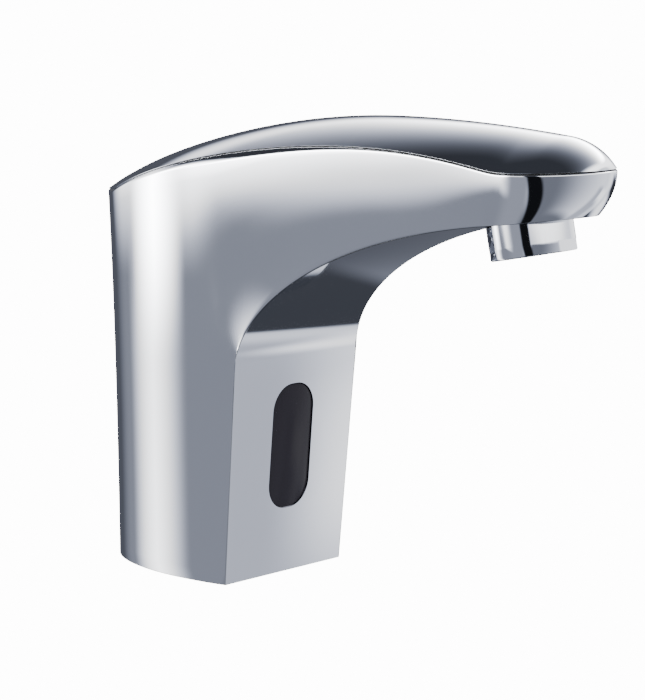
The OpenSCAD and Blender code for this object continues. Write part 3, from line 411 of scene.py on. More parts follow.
def half_paths(form, rows=30):
    """For each station, the wall's section from the lower edge up, over the ledge and down inside."""
    out = []
    side_wall = SideWall(form)
    for i, (part, f) in enumerate(form.stations):
        low, crease = form.low(part, f), form.crease(i)
        seam, ledge = form.seam_point(i, form.gap), form.ledge_point(i, form.gap)
        inner = form.low(part, f, form.wall)
        wall = [form.wall_at(part, low, crease, k / rows) for k in range(1, rows)]
        if part in ("side", "panel", "arc"):
            # The last third of the arc leads over to the plain sections of the spout
            share = ease(max(0.0, (f - 0.7) / 0.3)) if part == "arc" else 0.0
            wall = [(x, mix(side_wall.at(x, z), y, share), z) for x, y, z in wall]
        if part in ("back", "side"):
            foot = rounded(inner, low, wall[0], BACK_EDGE)
        else:
            under = (inner[0], inner[1], form.under_z(inner[0]))
            front = under if part in ("chin", "nose") else (low[0], low[1] - form.wall, low[2])
            foot = rounded(front, low, wall[0], FRONT_EDGE)
        band = rounded(wall[-1], crease, seam, CREASE_EDGE) + rounded(crease, seam, ledge, SEAM_EDGE, 2)
        inside = [form.wall_at(part, inner, ledge, 1 - k / 6) for k in range(1, 7)]
        out.append([*foot, *wall, *band, ledge, *inside])
    return out


def shell_mesh(s, finish):
    """The body: both side walls and what joins them, with its window, outlet wall and fixing bosses."""
    form = Form(s)
    bm = bmesh.new()
    # Painted shade: a mask that darkens the colour on the lower edge and round the window's rim and recess
    painted_shade_layer = bm.verts.layers.float.new("Edge")
    half = half_paths(form)
    n = len(half)
    near = [[bm.verts.new((x, -y, z)) for x, y, z in path] for path in half]
    far = [[bm.verts.new(p) for p in path] for path in half]
    ring = near + far[-2:0:-1]
    strips(bm, ring, closed=False, wrap=True)
    # Painted shade along the rounded lower edge, and on the panel and the arc the row above it
    for line, (part, _) in [*zip(near, form.stations), *zip(far, form.stations)]:
        for v in line[1:4]:
            v[painted_shade_layer] = EDGE_PAINTED_SHADE
        if part in ("panel", "arc"):
            line[4][painted_shade_layer] = NEXT_PAINTED_SHADE
    names = [part for part, _ in form.stations]
    corner, arc = names.index("panel"), names.index("arc")
    for i in range(corner):
        for side in (near, far):
            bm.faces.new([side[i][0], side[i + 1][0], side[i + 1][-1], side[i][-1]])
    bm.faces.new([near[corner][0], far[corner][0], far[corner][-1], near[corner][-1]])
    for j in (0, -1):
        for i in range(arc, n - 2):
            bm.faces.new([near[i][j], near[i + 1][j], far[i + 1][j], far[i][j]])
        bm.faces.new([near[n - 2][j], near[n - 1][j], far[n - 2][j]])
    loops = window_loops(bm, form, s, ((0, RIM_GUARD), (0, RIM), (-RIM, 0), (-form.wall, 0)))
    # Painted shade on the window's eased rim and in its recess, at full strength
    for loop in loops[1:]:
        for v in loop:
            v[painted_shade_layer] = 1
    strips(bm, loops)
    panel = range(corner, arc + 1)
    for j, loop in ((0, loops[0]), (-1, loops[-1])):
        filled(bm, [near[i][j] for i in panel] + [far[i][j] for i in reversed(panel)], loop)
    lathe(bm, OUTLET_WALL, on_outlet(form, s))
    for side in (-1, 1):
        up = s.window_up / MM + side * BOSS_AWAY
        turn = Matrix.Translation((0, 0, up)) @ Matrix.Rotation(math.pi / 2, 4, "Y")
        rod(bm, BOSS_RADIUS, -BOSS_DEPTH, -form.wall + 0.2, on_panel(form) @ turn)
    return finished("tap_body", bm, finish, angle=26)


def cover_mesh(s, finish, across=56):
    """The cover: an arch over each width of the seam, closed underneath, with its peg."""
    form = Form(s)
    bm = bmesh.new()
    arch = [math.sin(math.pi * (j / across - 0.5)) for j in range(across + 1)]
    rows = []
    for i, (x, y) in enumerate(form.seam):
        h, up = form.seam_h(x), form.rise(x)
        top = [(x, y * a, h + up * (1 - a * a)) for a in arch]
        deep = max(0.0, up - form.cover_t + form.lip_drop)
        lx, ly = form.ledge[i]
        under = [(lx, ly * a, h - form.lip_drop + deep * (1 - a * a)) for a in arch]
        if 0 < i < len(form.seam) - 1:
            ends = [rounded(under[k], top[k], top[q], COVER_EDGE, 2) for k, q in ((0, 1), (-1, -2))]
        else:
            ends = [[p] * 3 for p in (top[0], top[-1])]
        line = ends[0] + top[1:-1] + ends[1][::-1] + under[::-1]
        rows.append([bm.verts.new(p) for p in line])
    strips(bm, rows)
    rod(bm, PEG_RADIUS, PEG_LOW, PEG_HIGH, Matrix.Translation(PEG_AT))
    return finished("tap_cover", bm, finish, angle=40)


# Node groups
def feed(tree, socket, value):
    """An input's value: a link if it is another node's output."""
    if isinstance(value, bpy.types.NodeSocket):
        tree.links.new(value, socket)
    else:
        socket.default_value = value


def fill(tree, made, **values):
    """A node's settings and, by name, its inputs."""
    for key, value in values.items():
        if hasattr(made, key):
            setattr(made, key, value)
        else:
            feed(tree, made.inputs[key.replace("_", " ")], value)
    return made


def node(tree, kind, place, **values):
    """A new node, with its settings and inputs."""
    made = tree.nodes.new(kind)
    made.location = place
    return fill(tree, made, **values)


def maths(tree, place, operation, *values):
    """The result of a math node on outputs and plain numbers."""
    made = node(tree, "ShaderNodeMath", place, operation=operation)
    for socket, value in zip(made.inputs, values):
        feed(tree, socket, value)
    return made.outputs[0]


def number(label, value, low, high):
    """A number among a node group's inputs."""
    return (label, "INPUT", "Float", value, low, high)


def new_group(name, kind, sockets):
    """A node group with its sockets: its tree, what it is given, and its output node."""
    tree = bpy.data.node_groups.new(name, kind)
    for label, way, socket, *limits in sockets:
        made = tree.interface.new_socket(name=label, in_out=way, socket_type="NodeSocket" + socket)
        if limits:
            made.default_value, made.min_value, made.max_value = limits
    start, end = node(tree, "NodeGroupInput", (-1500, 0)), node(tree, "NodeGroupOutput", (900, 0))
    return tree, start.outputs, end


def noise_at(tree, scale, **values):
    """Noise in the part's own space."""
    place = node(tree, "ShaderNodeTexCoord", (-800, 0)).outputs["Object"]
    return node(tree, "ShaderNodeTexNoise", (-550, 0), Vector=place, Scale=scale, **values).outputs["Fac"]


def fine_grain():
    """Slow and fine noise in the part's own space: a value, and a normal from it."""
    tree, given, end = new_group(
        "Fine grain",
        "ShaderNodeTree",
        (
            number("Scale", 400.0, 1.0, 20000.0),
            number("Low", 0.2, 0.0, 1.0),
            number("High", 0.3, 0.0, 1.0),
            number("Relief", 0.05, 0.0, 1.0),
            ("Value", "OUTPUT", "Float"),
            ("Normal", "OUTPUT", "Vector"),
        ),
    )
    noise = noise_at(tree, given["Scale"], Detail=4.0, Roughness=0.6)
    span = node(
        tree, "ShaderNodeMapRange", (-250, 120), Value=noise, From_Min=0.3, From_Max=0.7,
        To_Min=given["Low"], To_Max=given["High"],
    )
    bump = node(
        tree, "ShaderNodeBump", (-250, -160), Height=noise, Distance=0.0002, Strength=given["Relief"]
    )
    fill(tree, end, Value=span.outputs["Result"], Normal=bump.outputs["Normal"])
    return tree


def two_tones():
    """A colour that wanders between two, as moulded or cast stock does."""
    tree, given, end = new_group(
        "Two tones",
        "ShaderNodeTree",
        (
            number("Scale", 60.0, 1.0, 5000.0),
            ("First", "INPUT", "Color"),
            ("Second", "INPUT", "Color"),
            ("Colour", "OUTPUT", "Color"),
        ),
    )
    noise = noise_at(tree, given["Scale"], Detail=3.0)
    blend = node(
        tree, "ShaderNodeMix", (-250, 0), data_type="RGBA",
        Factor=noise, A=given["First"], B=given["Second"],
    )
    fill(tree, end, Colour=blend.outputs["Result"])
    return tree


FINISHES = {
    # name: colour, metal, rough low, rough high, grain scale, relief, coat
    "Chrome": ((0.86, 0.875, 0.9), 1.0, 0.045, 0.06, 90.0, 0.0, 0.0),
    "Satin steel": ((0.56, 0.57, 0.58), 1.0, 0.22, 0.34, 900.0, 0.08, 0.0),
    "Brass": ((0.72, 0.52, 0.2), 1.0, 0.2, 0.32, 500.0, 0.1, 0.0),
    "Copper wire": ((0.72, 0.3, 0.12), 1.0, 0.25, 0.35, 700.0, 0.05, 0.3),
    "Black rubber": ((0.018, 0.018, 0.019), 0.0, 0.55, 0.75, 1500.0, 0.25, 0.0),
    "Black plastic": ((0.022, 0.023, 0.025), 0.0, 0.32, 0.45, 1200.0, 0.12, 0.0),
    "White plastic": ((0.76, 0.76, 0.73), 0.0, 0.3, 0.42, 900.0, 0.08, 0.0),
    "Blue sleeve": ((0.03, 0.12, 0.36), 0.0, 0.2, 0.3, 400.0, 0.04, 0.4),
    "Green board": ((0.012, 0.12, 0.045), 0.0, 0.25, 0.38, 1300.0, 0.08, 0.5),
    "Dark window": ((0.012, 0.011, 0.015), 0.0, 0.12, 0.18, 50.0, 0.0, 0.0),
    "Clear lamp": ((0.75, 0.78, 0.85), 0.0, 0.04, 0.08, 80.0, 0.0, 0.5),
    "Dark lamp": ((0.02, 0.006, 0.012), 0.0, 0.05, 0.1, 80.0, 0.0, 0.5),
    "Tube": ((0.8, 0.8, 0.76), 0.0, 0.25, 0.35, 300.0, 0.05, 0.0),
    "Red lead": ((0.45, 0.02, 0.015), 0.0, 0.35, 0.45, 600.0, 0.06, 0.0),
    "Blue lead": ((0.02, 0.03, 0.3), 0.0, 0.35, 0.45, 600.0, 0.06, 0.0),
    "Grey lead": ((0.05, 0.05, 0.06), 0.0, 0.35, 0.45, 600.0, 0.06, 0.0),
}


def material(name, colour=None):
    """The named finish: built once, then shared."""
    if name in bpy.data.materials:
        return bpy.data.materials[name]
    tone, metal, low, high, scale, relief, coat = FINISHES[name]
    grain = bpy.data.node_groups.get("Fine grain") or fine_grain()
    tones = bpy.data.node_groups.get("Two tones") or two_tones()
    mat = bpy.data.materials.new(name)
    mat.use_nodes = True
    tree = mat.node_tree
    shader = tree.nodes["Principled BSDF"]
    rgb = tuple(colour or tone)
    mat.diffuse_color = (*rgb, 1)
    even = 0.995 if name == "Chrome" else 0.9
    dark, pale = (*[c * even for c in rgb], 1), (*[min(1.0, c / even) for c in rgb], 1)
    paint = node(
        tree, "ShaderNodeGroup", (-600, 150), node_tree=tones, Scale=scale / 8, First=dark, Second=pale
    )
    surface = node(
        tree, "ShaderNodeGroup", (-600, -150), node_tree=grain,
        Scale=scale, Low=low, High=high, Relief=relief,
    )
    # Painted shade: where the mesh's Edge mask is set, the colour is multiplied towards near-black
    edge = node(tree, "ShaderNodeAttribute", (-600, 400), attribute_name="Edge")
    painted_shade_mix = node(
        tree, "ShaderNodeMix", (-300, 250), data_type="RGBA", blend_type="MULTIPLY",
        Factor=edge.outputs["Fac"], A=paint.outputs["Colour"], B=(0.02, 0.02, 0.025, 1),
    )
    fill(
        tree, shader, Metallic=metal, Coat_Weight=coat, Coat_Roughness=0.05,
        Base_Color=painted_shade_mix.outputs["Result"], Roughness=surface.outputs["Value"],
    )
    if name == "Dark window":
        fill(tree, shader, Specular_IOR_Level=0.06)
    if relief:
        fill(tree, shader, Normal=surface.outputs["Normal"])
    return mat


# Repeats
def finish_mesh(tree, geometry, given, end):
    """The end of a repeat: made real, and given its material."""
    real = node(tree, "GeometryNodeRealizeInstances", (400, 0), Geometry=geometry)
    finish = node(
        tree, "GeometryNodeSetMaterial", (650, 0),
        Geometry=real.outputs["Geometry"], Material=given["Finish"],
    )
    fill(tree, end, Geometry=finish.outputs["Geometry"])


def coil_tree():
    """A round wire wound into a helix along Z."""
    tree, given, end = new_group(
        "Wound wire",
        "GeometryNodeTree",
        (
            number("Turns", 6.0, 0.5, 200.0),
            number("Radius", 0.003, 0.0001, 0.1),
            number("Height", 0.01, 0.0001, 0.5),
            number("Wire", 0.0003, 0.00001, 0.01),
            ("Finish", "INPUT", "Material"),
            ("Geometry", "OUTPUT", "Geometry"),
        ),
    )
    spiral = node(
        tree, "GeometryNodeCurveSpiral", (-500, 100), Resolution=28, Rotations=given["Turns"],
        Start_Radius=given["Radius"], End_Radius=given["Radius"], Height=given["Height"],
    )
    ring = node(
        tree, "GeometryNodeCurvePrimitiveCircle", (-500, -250), Resolution=10, Radius=given["Wire"]
    )
    tube = node(
        tree, "GeometryNodeCurveToMesh", (-200, 0), Fill_Caps=True,
        Curve=spiral.outputs["Curve"], Profile_Curve=ring.outputs["Curve"],
    )
    finish_mesh(tree, tube.outputs["Mesh"], given, end)
    return tree


def gauze_tree():
    """Round bars side by side, each cut to the chord of a disc."""
    tree, given, end = new_group(
        "Gauze bars",
        "GeometryNodeTree",
        (
            ("Bars", "INPUT", "Int", 18, 2, 200),
            number("Disc", 0.0095, 0.0005, 0.1),
            number("Wire", 0.00012, 0.00001, 0.01),
            ("Finish", "INPUT", "Material"),
            ("Geometry", "OUTPUT", "Geometry"),
        ),
    )
    disc = given["Disc"]
    ends = []
    for y, share in ((0, -0.97), (200, 0.97)):
        x = maths(tree, (-1100, y), "MULTIPLY", disc, share)
        ends.append(node(tree, "ShaderNodeCombineXYZ", (-900, y), X=x).outputs[0])
    line = node(
        tree, "GeometryNodeMeshLine", (-650, 150), mode="END_POINTS",
        Count=given["Bars"], Start_Location=ends[0], Offset=ends[1],
    )
    at = node(tree, "GeometryNodeInputPosition", (-900, -200)).outputs[0]
    across = node(tree, "ShaderNodeSeparateXYZ", (-750, -200), Vector=at).outputs["X"]
    square = maths(tree, (-600, -200), "MULTIPLY", across, across)
    disc2 = maths(tree, (-600, -380), "MULTIPLY", disc, disc)
    chord = maths(tree, (-280, -260), "SQRT", maths(tree, (-430, -260), "SUBTRACT", disc2, square))
    size = node(tree, "ShaderNodeCombineXYZ", (-100, -260), X=1.0, Y=1.0, Z=chord)
    bar = node(tree, "GeometryNodeMeshCylinder", (-400, 0), Vertices=8, Depth=2.0, Radius=given["Wire"])
    placed = node(
        tree, "GeometryNodeInstanceOnPoints", (150, 100), Rotation=(math.pi / 2, 0, 0),
        Points=line.outputs["Mesh"], Instance=bar.outputs["Mesh"], Scale=size.outputs[0],
    )
    finish_mesh(tree, placed.outputs["Instances"], given, end)
    return tree


def repeated(name, tree, at, **values):
    """A mesh made by a node tree, with its inputs set by name, moved to its place."""
    holder = bpy.data.objects.new(name + "_nodes", bpy.data.meshes.new(name))
    bpy.context.scene.collection.objects.link(holder)
    mod = holder.modifiers.new("repeat", "NODES")
    mod.node_group = tree
    for item in tree.interface.items_tree:
        if item.item_type == "SOCKET" and item.in_out == "INPUT" and item.name in values:
            mod[item.identifier] = values[item.name]
    dg = bpy.context.evaluated_depsgraph_get()
    mesh = bpy.data.meshes.new_from_object(holder.evaluated_get(dg), depsgraph=dg)
    bpy.data.objects.remove(holder)
    mesh.transform(at)
    mesh.name = name
    return linked(name, mesh)


# Light tent: cards round the object, each laid over those before it
# Name; azimuth from, to and softness; elevation from, to and softness, in degrees; lean; light
CARDS = (
    ("Grey wall", -135, 12, 8, -90, 0, 4, 0, 0.3),
    ("Side softbox", -72, -56, 12, -90, -3, 5, 0, 4.0),
    ("High softbox", -66, -57, 13, -4, 36, 5, 0, 20.0),
    ("Low fill", -32, 60, 8, -14, 3, 4, -2, 2.2),
    ("High fill", -48, -14, 8, 6, 34, 8, 0, 14.0),
    ("Front wall", -16, 30, 13, -90, 14, 5, 0, 0.38),
    ("Behind", -175, -94, 9, -40, 26, 7, 0, 0.1),
    ("Right wall", 38, 150, 5, -90, 12, 4, 0, 0.2),
    ("Right softbox", 105, 175, 45, -50, 14, 5, 0, 1.4),
    ("Panel wall", 134, 152, 5, -60, -13, 4, 0, 0.65),
    ("Panel strip", 144, 158, 3, -26, -13, 5, 0, 1.9),
    ("Back floor", 161, 225, 2, -90, -29, 3, 0, 0.06),
    ("Nose strip", 166, 186, 3, -25, -13, 3, 0, 1.8),
    ("Back flag", 166, 205, 6, -13, 1, 4, 0, 0.04),
    ("Front flag", 20, 42, 2.5, -90, 34, 4, -0.25, 0.008),
)
# The room behind the cards brightens upwards: from and to in degrees, light below and above
ROOM = (-45, 12, 0.06, 3)
# The ceiling takes over between two elevations. It is bright at the back and falls to dark at the front,
# by this factor, but never under a share of its middle light
CEILING_FROM, CEILING_TO, CEILING_LIGHT, CEILING_RISE, CEILING_LEAST = 24, 38, 0.06, 900, 0.7
# Colours of dim and of bright light
DIM_TINT, BRIGHT_TINT = (0.88, 0.95, 1.2, 1), (1, 1, 1.02, 1)


def soft_card():
    """A rectangle with soft edges on the tent, as a mask."""
    sides, parts = ("Azimuth", "Elevation"), ("", " from", " to", " softness")
    tree, given, end = new_group(
        "Soft card",
        "ShaderNodeTree",
        (
            number("Lean", 0.0, -10.0, 10.0),
            *(number(side + part, 0.0, -360.0, 360.0) for side in sides for part in parts),
            ("Mask", "OUTPUT", "Float"),
        ),
    )
    shift = maths(tree, (-1300, 500), "MULTIPLY", given["Elevation"], given["Lean"])
    upright = maths(tree, (-1150, 500), "SUBTRACT", given["Azimuth"], shift)
    masks = []
    for side, seen, y in zip(sides, (upright, given["Elevation"]), (300, -300)):
        low, high, soft = (given[side + part] for part in parts[1:])
        span = maths(tree, (-1050, y - 150), "SUBTRACT", high, low)
        half = maths(tree, (-850, y - 150), "MULTIPLY", span, 0.5)
        middle = maths(tree, (-650, y), "ADD", low, half)
        away = maths(tree, (-450, y), "SUBTRACT", seen, middle)
        around = maths(tree, (-300, y), "WRAP", away, 180, -180)
        edge = node(
            tree, "ShaderNodeMapRange", (50, y), interpolation_type="SMOOTHSTEP", To_Min=1, To_Max=0,
            Value=maths(tree, (-150, y), "ABSOLUTE", around),
            From_Min=maths(tree, (-450, y - 200), "SUBTRACT", half, soft),
            From_Max=maths(tree, (-300, y - 250), "ADD", half, soft),
        )
        masks.append(edge.outputs["Result"])
    fill(tree, end, Mask=maths(tree, (300, 0), "MULTIPLY", *masks))
    return tree


def bare_material(name):
    """A material without nodes."""
    mat = bpy.data.materials.new(name)
    mat.use_nodes = True
    mat.node_tree.nodes.clear()
    return mat


def shine(tree, colour, strength, x=0):
    """The end of a material that gives light."""
    glow = node(tree, "ShaderNodeEmission", (x, 0), Color=colour, Strength=strength)
    node(tree, "ShaderNodeOutputMaterial", (x + 200, 0), Surface=glow.outputs[0])


def tent_material():
    """The light tent: its room, its ceiling, then the cards in their order, by direction."""
    mat = bare_material("Light tent")
    tree = mat.node_tree
    place = node(tree, "ShaderNodeTexCoord", (-1900, 0)).outputs["Object"]
    x, y, z = node(tree, "ShaderNodeSeparateXYZ", (-1700, 0), Vector=place).outputs
    far = node(tree, "ShaderNodeVectorMath", (-1500, -150), operation="LENGTH", Vector=place)
    turn = maths(tree, (-1300, 150), "ARCTAN2", x, maths(tree, (-1500, 150), "MULTIPLY", y, -1))
    azimuth = maths(tree, (-1100, 150), "DEGREES", turn)
    share = maths(tree, (-1300, -150), "DIVIDE", z, far.outputs["Value"])
    elevation = maths(tree, (-1000, -150), "DEGREES", maths(tree, (-1150, -150), "ARCSINE", share))
    level = node(tree, "ShaderNodeVectorMath", (-1500, -400), operation="NORMALIZE", Vector=place)
    axes = node(tree, "ShaderNodeSeparateXYZ", (-1300, -400), Vector=level.outputs["Vector"])
    growth = maths(tree, (-1100, -400), "POWER", CEILING_RISE, axes.outputs["Y"])
    ceiling = maths(tree, (-900, -400), "MULTIPLY", growth, CEILING_LIGHT)
    least = maths(tree, (-750, -400), "MAXIMUM", ceiling, CEILING_LIGHT * CEILING_LEAST)
    low, high, dim, bright = ROOM
    room = node(
        tree, "ShaderNodeMapRange", (-750, 0), interpolation_type="SMOOTHSTEP",
        Value=elevation, From_Min=low, From_Max=high, To_Min=dim, To_Max=bright,
    )
    overhead = node(
        tree, "ShaderNodeMapRange", (-750, -150), interpolation_type="SMOOTHSTEP",
        Value=elevation, From_Min=CEILING_FROM, From_Max=CEILING_TO,
    )
    roof = node(
        tree, "ShaderNodeMix", (-600, -150), data_type="FLOAT",
        Factor=overhead.outputs["Result"], A=room.outputs["Result"], B=least,
    )
    card_tree = soft_card()
    light = roof.outputs["Result"]
    for k, (name, left, right, side_soft, low, high, end_soft, lean, strength) in enumerate(CARDS):
        card = node(
            tree, "ShaderNodeGroup", (350 * k - 500, 300), node_tree=card_tree, label=name, Lean=lean,
            Azimuth=azimuth, Azimuth_from=left, Azimuth_to=right, Azimuth_softness=side_soft,
            Elevation=elevation, Elevation_from=low, Elevation_to=high, Elevation_softness=end_soft,
        )
        over = node(
            tree, "ShaderNodeMix", (350 * k - 300, 0), data_type="FLOAT",
            Factor=card.outputs["Mask"], A=light, B=strength,
        )
        light = over.outputs["Result"]
    column = 350 * len(CARDS)
    share = node(tree, "ShaderNodeMapRange", (column - 300, -250), Value=light, From_Max=2)
    tint = node(
        tree, "ShaderNodeMix", (column - 100, -250), data_type="RGBA",
        Factor=share.outputs["Result"], A=DIM_TINT, B=BRIGHT_TINT,
    )
    shine(tree, tint.outputs["Result"], light, column + 100)
    return mat


def plain_glow(name, strength):
    """A white light of one strength."""
    mat = bare_material(name)
    shine(mat.node_tree, (1, 1, 1, 1), strength)
    return mat


def seen_by(obj, **kinds):
    """Shown to the named kinds of ray only."""
    for name in ("camera", "diffuse", "glossy", "transmission", "volume_scatter", "shadow"):
        setattr(obj, "visible_" + name, kinds.get(name, False))


# Lamp overhead: place, power and size; strengths of the pale floor and of the sky
LAMP_AT, LAMP_POWER, LAMP_SIZE, FLOOR_LIGHT, SKY_LIGHT = (0.2, -0.5, 0.9), 12.0, 0.8, 14.0, 2.0
# Camera: focal length, picture side and shift in pixels, azimuth and elevation, distance in metres
FOCAL, SIDE, SHIFT, VIEW_FROM, DISTANCE = 2815, 700, (-12.5, -2), (40.1, 7.9), 0.9
# What it looks at: this far behind the outlet, and this high
LOOK_BACK, LOOK_UP = 0.07625, 0.0759
# Half the side of the floor and of the walls round it, in metres
FLOOR_REACH = 7


def build_stage(s):
    target = Vector((s.outlet_x - LOOK_BACK, 0, LOOK_UP))
    mesh = bpy.data.meshes.new("light_tent")
    bm = bmesh.new()
    bmesh.ops.create_uvsphere(bm, u_segments=96, v_segments=48, radius=s.tent_radius)
    bmesh.ops.reverse_faces(bm, faces=bm.faces)
    bm.to_mesh(mesh)
    bm.free()
    mesh.materials.append(tent_material())
    tent = bpy.data.objects.new("light_tent", mesh)
    tent.location = target
    seen_by(tent, glossy=True)
    pale = plain_glow("Pale floor", FLOOR_LIGHT)
    w = FLOOR_REACH
    corners = [(x, y, 0) for x, y in ((-w, -w), (w, -w), (w, w), (-w, w))]
    floor_mesh = bpy.data.meshes.new("floor")
    floor_mesh.from_pydata(corners, [], [(0, 1, 2, 3)])
    wall_mesh = bpy.data.meshes.new("backdrop")
    wall_mesh.from_pydata(
        [(x, y, z) for z in (-0.001, 2 * w) for x, y, _ in corners],
        [],
        [(k, (k + 1) % 4, (k + 1) % 4 + 4, k + 4) for k in range(4)],
    )
    floor = bpy.data.objects.new("floor", floor_mesh)
    wall = bpy.data.objects.new("backdrop", wall_mesh)
    for obj in (floor, wall):
        obj.data.materials.append(pale)
        obj.location = (0, 0, -0.0004)
        seen_by(obj, camera=True, transmission=True)
    light = bpy.data.lights.new("overhead", "AREA")
    light.energy, light.size = LAMP_POWER, LAMP_SIZE
    lamp = bpy.data.objects.new("overhead", light)
    lamp.location = LAMP_AT
    lamp.rotation_mode = "QUATERNION"
    lamp.rotation_quaternion = (target - lamp.location).to_track_quat("-Z", "Y")
    lamp.visible_glossy = False
    cam = bpy.data.cameras.new("camera")
    az, el = (math.radians(a) for a in VIEW_FROM)
    back = Vector((math.sin(az) * math.cos(el), -math.cos(az) * math.cos(el), math.sin(el)))
    cam.lens = cam.sensor_width * FOCAL / SIDE
    cam.shift_x, cam.shift_y = SHIFT[0] / SIDE, SHIFT[1] / SIDE
    cam.clip_start, cam.clip_end = 0.05, 100
    eye = bpy.data.objects.new("camera", cam)
    eye.location = target + back * DISTANCE
    eye.rotation_mode = "QUATERNION"
    eye.rotation_quaternion = (-back).to_track_quat("-Z", "Y")
    for obj in (tent, floor, wall, lamp, eye):
        bpy.context.scene.collection.objects.link(obj)
    bpy.context.scene.camera = eye
    world = bpy.data.worlds.new("studio")
    world.use_nodes = True
    sky = world.node_tree.nodes["Background"]
    sky.inputs["Color"].default_value = (1, 1, 1, 1)
    sky.inputs["Strength"].default_value = SKY_LIGHT
    bpy.context.scene.world = world


# Settings in the sidebar
def length(name, default, description):
    return FloatProperty(
        name=name, description=description, default=default, unit="LENGTH", min=0.0, precision=5
    )


def angle(name, degrees, description):
    return FloatProperty(name=name, description=description, default=math.radians(degrees), unit="ROTATION")


def colour(name, finish, description):
    return FloatVectorProperty(
        name=name, description=description, default=FINISHES[finish][0], subtype="COLOR", min=0.0, max=1.0
    )


class TapSizes(bpy.types.PropertyGroup):
    """Sizes of the tap's outside, as in its CAD part"""

    base_depth: length("Base depth", 0.0677, "Foot from back to panel")
    base_width: length("Base width", 0.0588, "Width of the foot")
    widest_back: length("Widest point", 0.0135, "How far behind the panel the foot is widest")
    back_flare: length("Back flare", 0.0033, "How far the back leans out at the top")
    side_flare: length("Side flare", 0.0016, "How far each side leans out at the top")
    panel_height: length("Panel height", 0.0722, "Height of the flat front panel")
    panel_top_width: length("Panel top width", 0.0602, "Width of the panel at its top")
    lean: angle("Panel lean", 4.8, "Forward lean of the panel")
    wall: length("Wall", 0.003, "Thickness of the casting")
    chin_x: length("Chin forward", 0.1304, "Where the arc under the spout ends")
    chin_z: length("Chin height", 0.1208, "Height of the arc's end")
    chin_slope: FloatProperty(name="Chin slope", description="Rise of the underside", default=0.116)
    chin_radius: length("Chin radius", 0.0204, "Plan radius of the nose underneath")
    nose_x: length("Nose forward", 0.1374, "Centre of the nose's plan circle")
    nose_radius: length("Nose radius", 0.022, "Plan radius of the nose at the crease")
    crown_x: length("Crown forward", 0.082, "Where the crown is highest")
    crown_z: length("Crown height", 0.151, "Height of the crown")
    seam_z: length("Seam height", 0.1428, "Highest point of the seam")
    tail_z: length("Tail height", 0.1234, "Height of the seam at the back")
    nose_z: length("Nose height", 0.1369, "Height of the seam at the nose")
    seam_gap: length("Seam gap", 0.0005, "Open joint under the cover")
    band: length("Edge band", 0.0021, "Height of the bevelled band under the seam")
    cover_thickness: length("Cover thickness", 0.0025, "Wall of the cover")
    window_up: length("Window height above the deck", 0.0424, "Middle of the window, along the panel")
    window_width: length("Window width", 0.0192, "Width of the window")
    window_height: length("Window length", 0.041, "Length of the window")
    window_radius: length("Window corners", 0.0084, "Corner radius of the window")
    outlet_x: length("Outlet forward", 0.1323, "Middle of the outlet")
    outlet_tilt: angle("Outlet tilt", 11.2, "Forward tilt of the stream")
    aerator_diameter: length("Aerator diameter", 0.0265, "Outside of the aerator ring")
    aerator_show: length("Aerator length", 0.0104, "How much of the ring shows")
    flats_width: length("Across flats", 0.023, "Across the spanner flats")
    flats_height: length("Height of the flats", 0.0034, "Height of the spanner flats")
    flats_turn: angle("Turn of the flats", 12, "How far the ring is screwed round")
    bars: IntProperty(name="Gauze bars", description="Bars each way in the gauze", default=22, min=4)
    tent_radius: length("Light tent", 0.5, "Radius of the light tent")


class TapColours(bpy.types.PropertyGroup):
    """Colours of the finishes that show"""

    chrome: colour("Chrome", "Chrome", "Plating of the body, cover and ring")
    window: colour("Window", "Dark window", "Pane over the sensor")


def settings(context):
    return context.scene.tap_sizes, context.scene.tap_colours


class TAP_OT_body(bpy.types.Operator):
    """Body casting with its panel, arc and spout"""

    bl_idname = "tap.body"
    bl_label = "Body"

    def execute(self, context):
        s, c = settings(context)
        obj = shell_mesh(s, material("Chrome", c.chrome))
        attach(obj, "root")
        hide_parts("body_shell")
        return {"FINISHED"}


class TAP_OT_cover(bpy.types.Operator):
    """Crowned cover over the body"""

    bl_idname = "tap.cover"
    bl_label = "Cover"

    def execute(self, context):
        s, c = settings(context)
        obj = cover_mesh(s, material("Chrome", c.chrome))
        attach(obj, "root")
        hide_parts("top_cover")
        return {"FINISHED"}


class TAP_OT_window(bpy.types.Operator):
    """Dark pane in the panel, with eased edges"""

    bl_idname = "tap.window"
    bl_label = "Window"

    def execute(self, context):
        s, c = settings(context)
        bm = bmesh.new()
        # Depth from the panel's face, and how much wider than the window
        flange = ((-5.3, 2), (-3.8, 2))
        pane = ((-3.8, -0.1), (-0.45, -0.1), (-0.33, -0.13), (-0.3, -0.2))
        loops = window_loops(bm, Form(s), s, flange + pane)
        strips(bm, loops)
        bm.faces.new(loops[0])
        bm.faces.new(loops[-1])
        obj = finished("sensor_pane", bm, material("Dark window", c.window), angle=40)
        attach(obj, "root")
        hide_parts("sensor_window")
        return {"FINISHED"}


